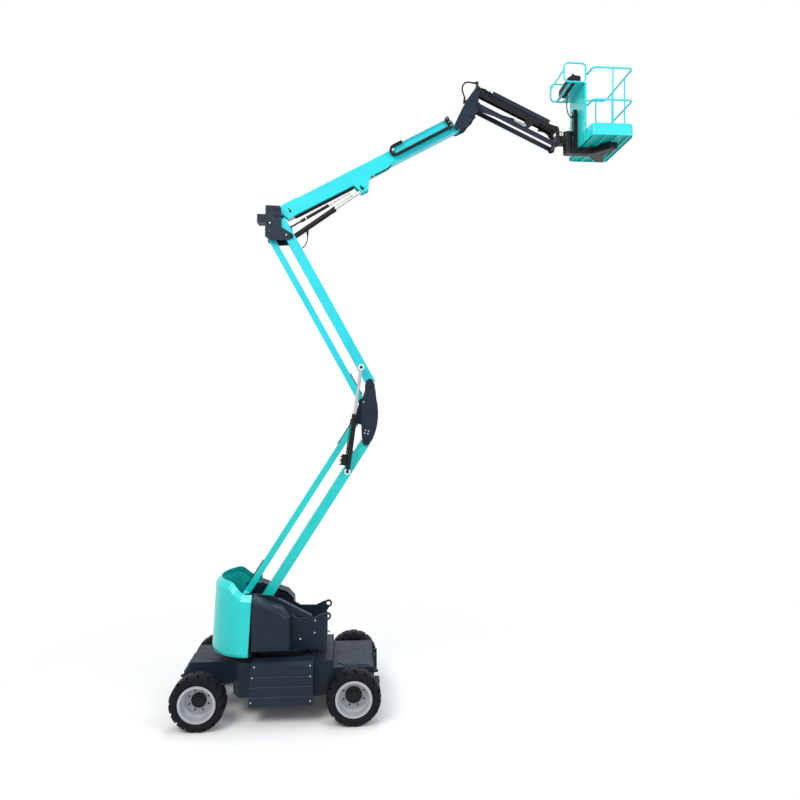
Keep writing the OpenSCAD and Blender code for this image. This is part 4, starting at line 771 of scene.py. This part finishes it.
def platform_trim():
    foot = pivot("platform_turn")
    base = Vector((foot.x - 0.082, 0, foot.z + 0.720))
    console_fall, console_run = 0.025, 0.142
    slope = math.degrees(math.atan2(-console_fall, console_run))
    up = along(Vector(), slope, 0, 1)

    def on_top(x, y, lift=0.0):
        """Point on the console's sloped top."""
        return Vector((base.x + x, y, base.z + 0.165 + (0.232 - x) * console_fall / console_run + lift))

    put("console_plate", lambda bm: block(
        bm, on_top(0.162, 0.0, 0.001), (0.128, 0.440, 0.004), slope, 0.0015), FINISH["black_plastic"],
        "platform")
    guard_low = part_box("console_guard")[0]
    # The shelf takes the teal with painted light of the upper parts.
    put("console_shelf", lambda bm: block(bm, Vector((guard_low.x + 0.330, 0, guard_low.z + 0.014)),
                                          (0.085, 0.730, 0.006), 0, 0.002), TEAL_WITH_PAINTED_LIGHT, "platform")

    def switches(bm):
        for y in (-0.200, -0.165, -0.025, 0.010, 0.130, 0.165):
            turned(bm, [(0.008, -0.001), (0.008, 0.005), (0.0035, 0.006), (0.0045, 0.022), (0.003, 0.025)],
                   on_top(0.205, y, 0.003), up, 16)
        for y in (-0.110, 0.060):
            turned(bm, [(0.030, -0.001), (0.030, 0.003), (0.024, 0.010), (0.017, 0.018), (0.0135, 0.026)],
                   on_top(0.140, y, 0.003), up, 28)
    put("console_switches", switches, DARK, "platform")
    put("console_stop_knob", lambda bm: turned(
        bm, [(0.010, -0.001), (0.010, 0.010), (0.020, 0.012), (0.021, 0.020), (0.015, 0.026)],
        on_top(0.190, 0.205, 0.003), up, 28), RED, "platform")
    panel_low, panel_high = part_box("platform_panel")
    spots = [Vector((panel_low.x, y, z)) for y in (panel_low.y + 0.05, panel_high.y - 0.05)
             for z in (panel_low.z + 0.08, panel_low.z + 0.5, panel_high.z - 0.06)]
    bolts("panel_bolts", "platform", spots, (-1, 0, 0), 0.009)
    post_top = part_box("platform_post")[1].z
    post_x = foot.x + 0.090
    spots = [Vector((post_x, y, z)) for y in (-0.038, 0.038) for z in (post_top - 0.06, post_top - 0.16)]
    bolts("post_bolts", "platform", spots, (-1, 0, 0), 0.010)

    def rotator(bm):
        for dz in (0.060, 0.110, 0.160):
            ring_round(bm, 0.0802, 0.086, 0.012, Vector((foot.x, 0, foot.z - 0.300 + dz)), (0, 0, 1), 48)
    put("rotator_bands", rotator, DARK, "jib_end")

    valve_y = -0.088
    line_starts = (-0.145, -0.095)

    def rotator_valve(bm):
        block(bm, Vector((foot.x - 0.120, valve_y, foot.z - 0.150)), (0.090, 0.044, 0.070))
        for dx in line_starts:
            turned(bm, [(0.011, -0.001), (0.011, 0.014), (0.008, 0.016), (0.008, 0.030)],
                   Vector((foot.x + dx, valve_y, foot.z - 0.115)), (0, 0, 1), 6)
    put("rotator_valve", rotator_valve, FINISH["black_plastic"], "jib_end")
    for i, dx in enumerate(line_starts):
        route = ((dx, valve_y, -0.086), (dx, valve_y, -0.050), (dx - 0.030, -0.080, -0.020),
                 (dx - 0.075, -0.070, -0.025), (-0.236, -0.062, -0.060 - 0.03 * i))
        path = smooth_path([Vector((foot.x + x, y, foot.z + z)) for x, y, z in route], 6)
        tube(f"rotator_line_{i}", path, 0.013, DARK, "jib_end")


# Light and floor

def make_stage():
    world = bpy.data.worlds.new("studio")
    bpy.context.scene.world = world
    world.use_nodes = True
    tree = world.node_tree
    tree.nodes.clear()
    output = tree.nodes.new("ShaderNodeOutputWorld")
    lamp = tree.nodes.new("ShaderNodeBackground")
    lamp.inputs["Color"].default_value = (0.94, 0.97, 1.0, 1)
    lamp.inputs["Strength"].default_value = 0.6
    backdrop = tree.nodes.new("ShaderNodeBackground")
    backdrop.inputs["Color"].default_value = (1, 1, 1, 1)
    backdrop.inputs["Strength"].default_value = 1.0
    path = tree.nodes.new("ShaderNodeLightPath")
    choose = tree.nodes.new("ShaderNodeMixShader")
    seen = path.outputs["Is Camera Ray"]
    for ray in ("Is Glossy Ray", "Is Transmission Ray"):
        seen = calculate(tree, "MAXIMUM", seen, path.outputs[ray])
    tree.links.new(seen, choose.inputs["Fac"])
    tree.links.new(lamp.outputs[0], choose.inputs[1])
    tree.links.new(backdrop.outputs[0], choose.inputs[2])
    tree.links.new(choose.outputs[0], output.inputs["Surface"])

    for name, place, size, power, colour in (
            ("key_light", plan(-5.0, -9.5, 14.0), 7.0, 1200, (1.0, 0.98, 0.95)),
            ("side_light", plan(9.0, -7.0, 9.0), 6.0, 450, (0.95, 0.98, 1.0)),
            ("top_light", plan(2.0, 2.0, 18.0), 8.0, 900, (0.95, 0.98, 1.0))):
        data = bpy.data.lights.new(name, "AREA")
        data.size = size
        data.energy = power
        data.color = colour
        lamp_object = add_object(name, data)
        lamp_object.location = place
        aim = plan(1.0, 0, 5.0) - place
        lamp_object.rotation_mode = "QUATERNION"
        lamp_object.rotation_quaternion = aim.to_track_quat("-Z", "Y")

    floor_half = 30.0
    bm = bmesh.new()
    corners = ((-floor_half, -floor_half), (floor_half, -floor_half), (floor_half, floor_half),
               (-floor_half, floor_half))
    bm.faces.new([bm.verts.new((SLEW_X + x, y, 0)) for x, y in corners])
    mesh = bpy.data.meshes.new("studio_floor")
    bm.to_mesh(mesh)
    bm.free()
    material, tree, bsdf = new_material("floor_white")
    bsdf.inputs["Base Color"].default_value = (0.93, 0.93, 0.93, 1)
    bsdf.inputs["Roughness"].default_value = 0.9
    bsdf.inputs["Specular IOR Level"].default_value = 0.1
    coords = tree.nodes.new("ShaderNodeTexCoord")
    centre = tree.nodes.new("ShaderNodeVectorMath")
    centre.operation = "DISTANCE"
    centre.inputs[1].default_value = (SLEW_X, 0, 0)
    tree.links.new(coords.outputs["Object"], centre.inputs[0])
    fade = tree.nodes.new("ShaderNodeMapRange")
    fade.inputs["From Min"].default_value = 2.5
    fade.inputs["From Max"].default_value = 6.0
    tree.links.new(centre.outputs["Value"], fade.inputs["Value"])
    clear = tree.nodes.new("ShaderNodeBsdfTransparent")
    blend = tree.nodes.new("ShaderNodeMixShader")
    tree.links.new(fade.outputs["Result"], blend.inputs["Fac"])
    tree.links.new(bsdf.outputs[0], blend.inputs[1])
    tree.links.new(clear.outputs[0], blend.inputs[2])
    tree.links.new(blend.outputs[0], tree.nodes["Material Output"].inputs["Surface"])
    mesh.materials.append(material)
    floor = add_object("studio_floor", mesh)
    bpy.context.scene.view_settings.view_transform = "Standard"


make_camera()
make_cords()
dress_nodes()
wheels()
chassis_trim()
turntable_trim()
riser_trim()
link_pipes()
knuckle_trim()
head_trim()
boom_trim()
track_trim()
jib_trim()
platform_trim()
make_stage()
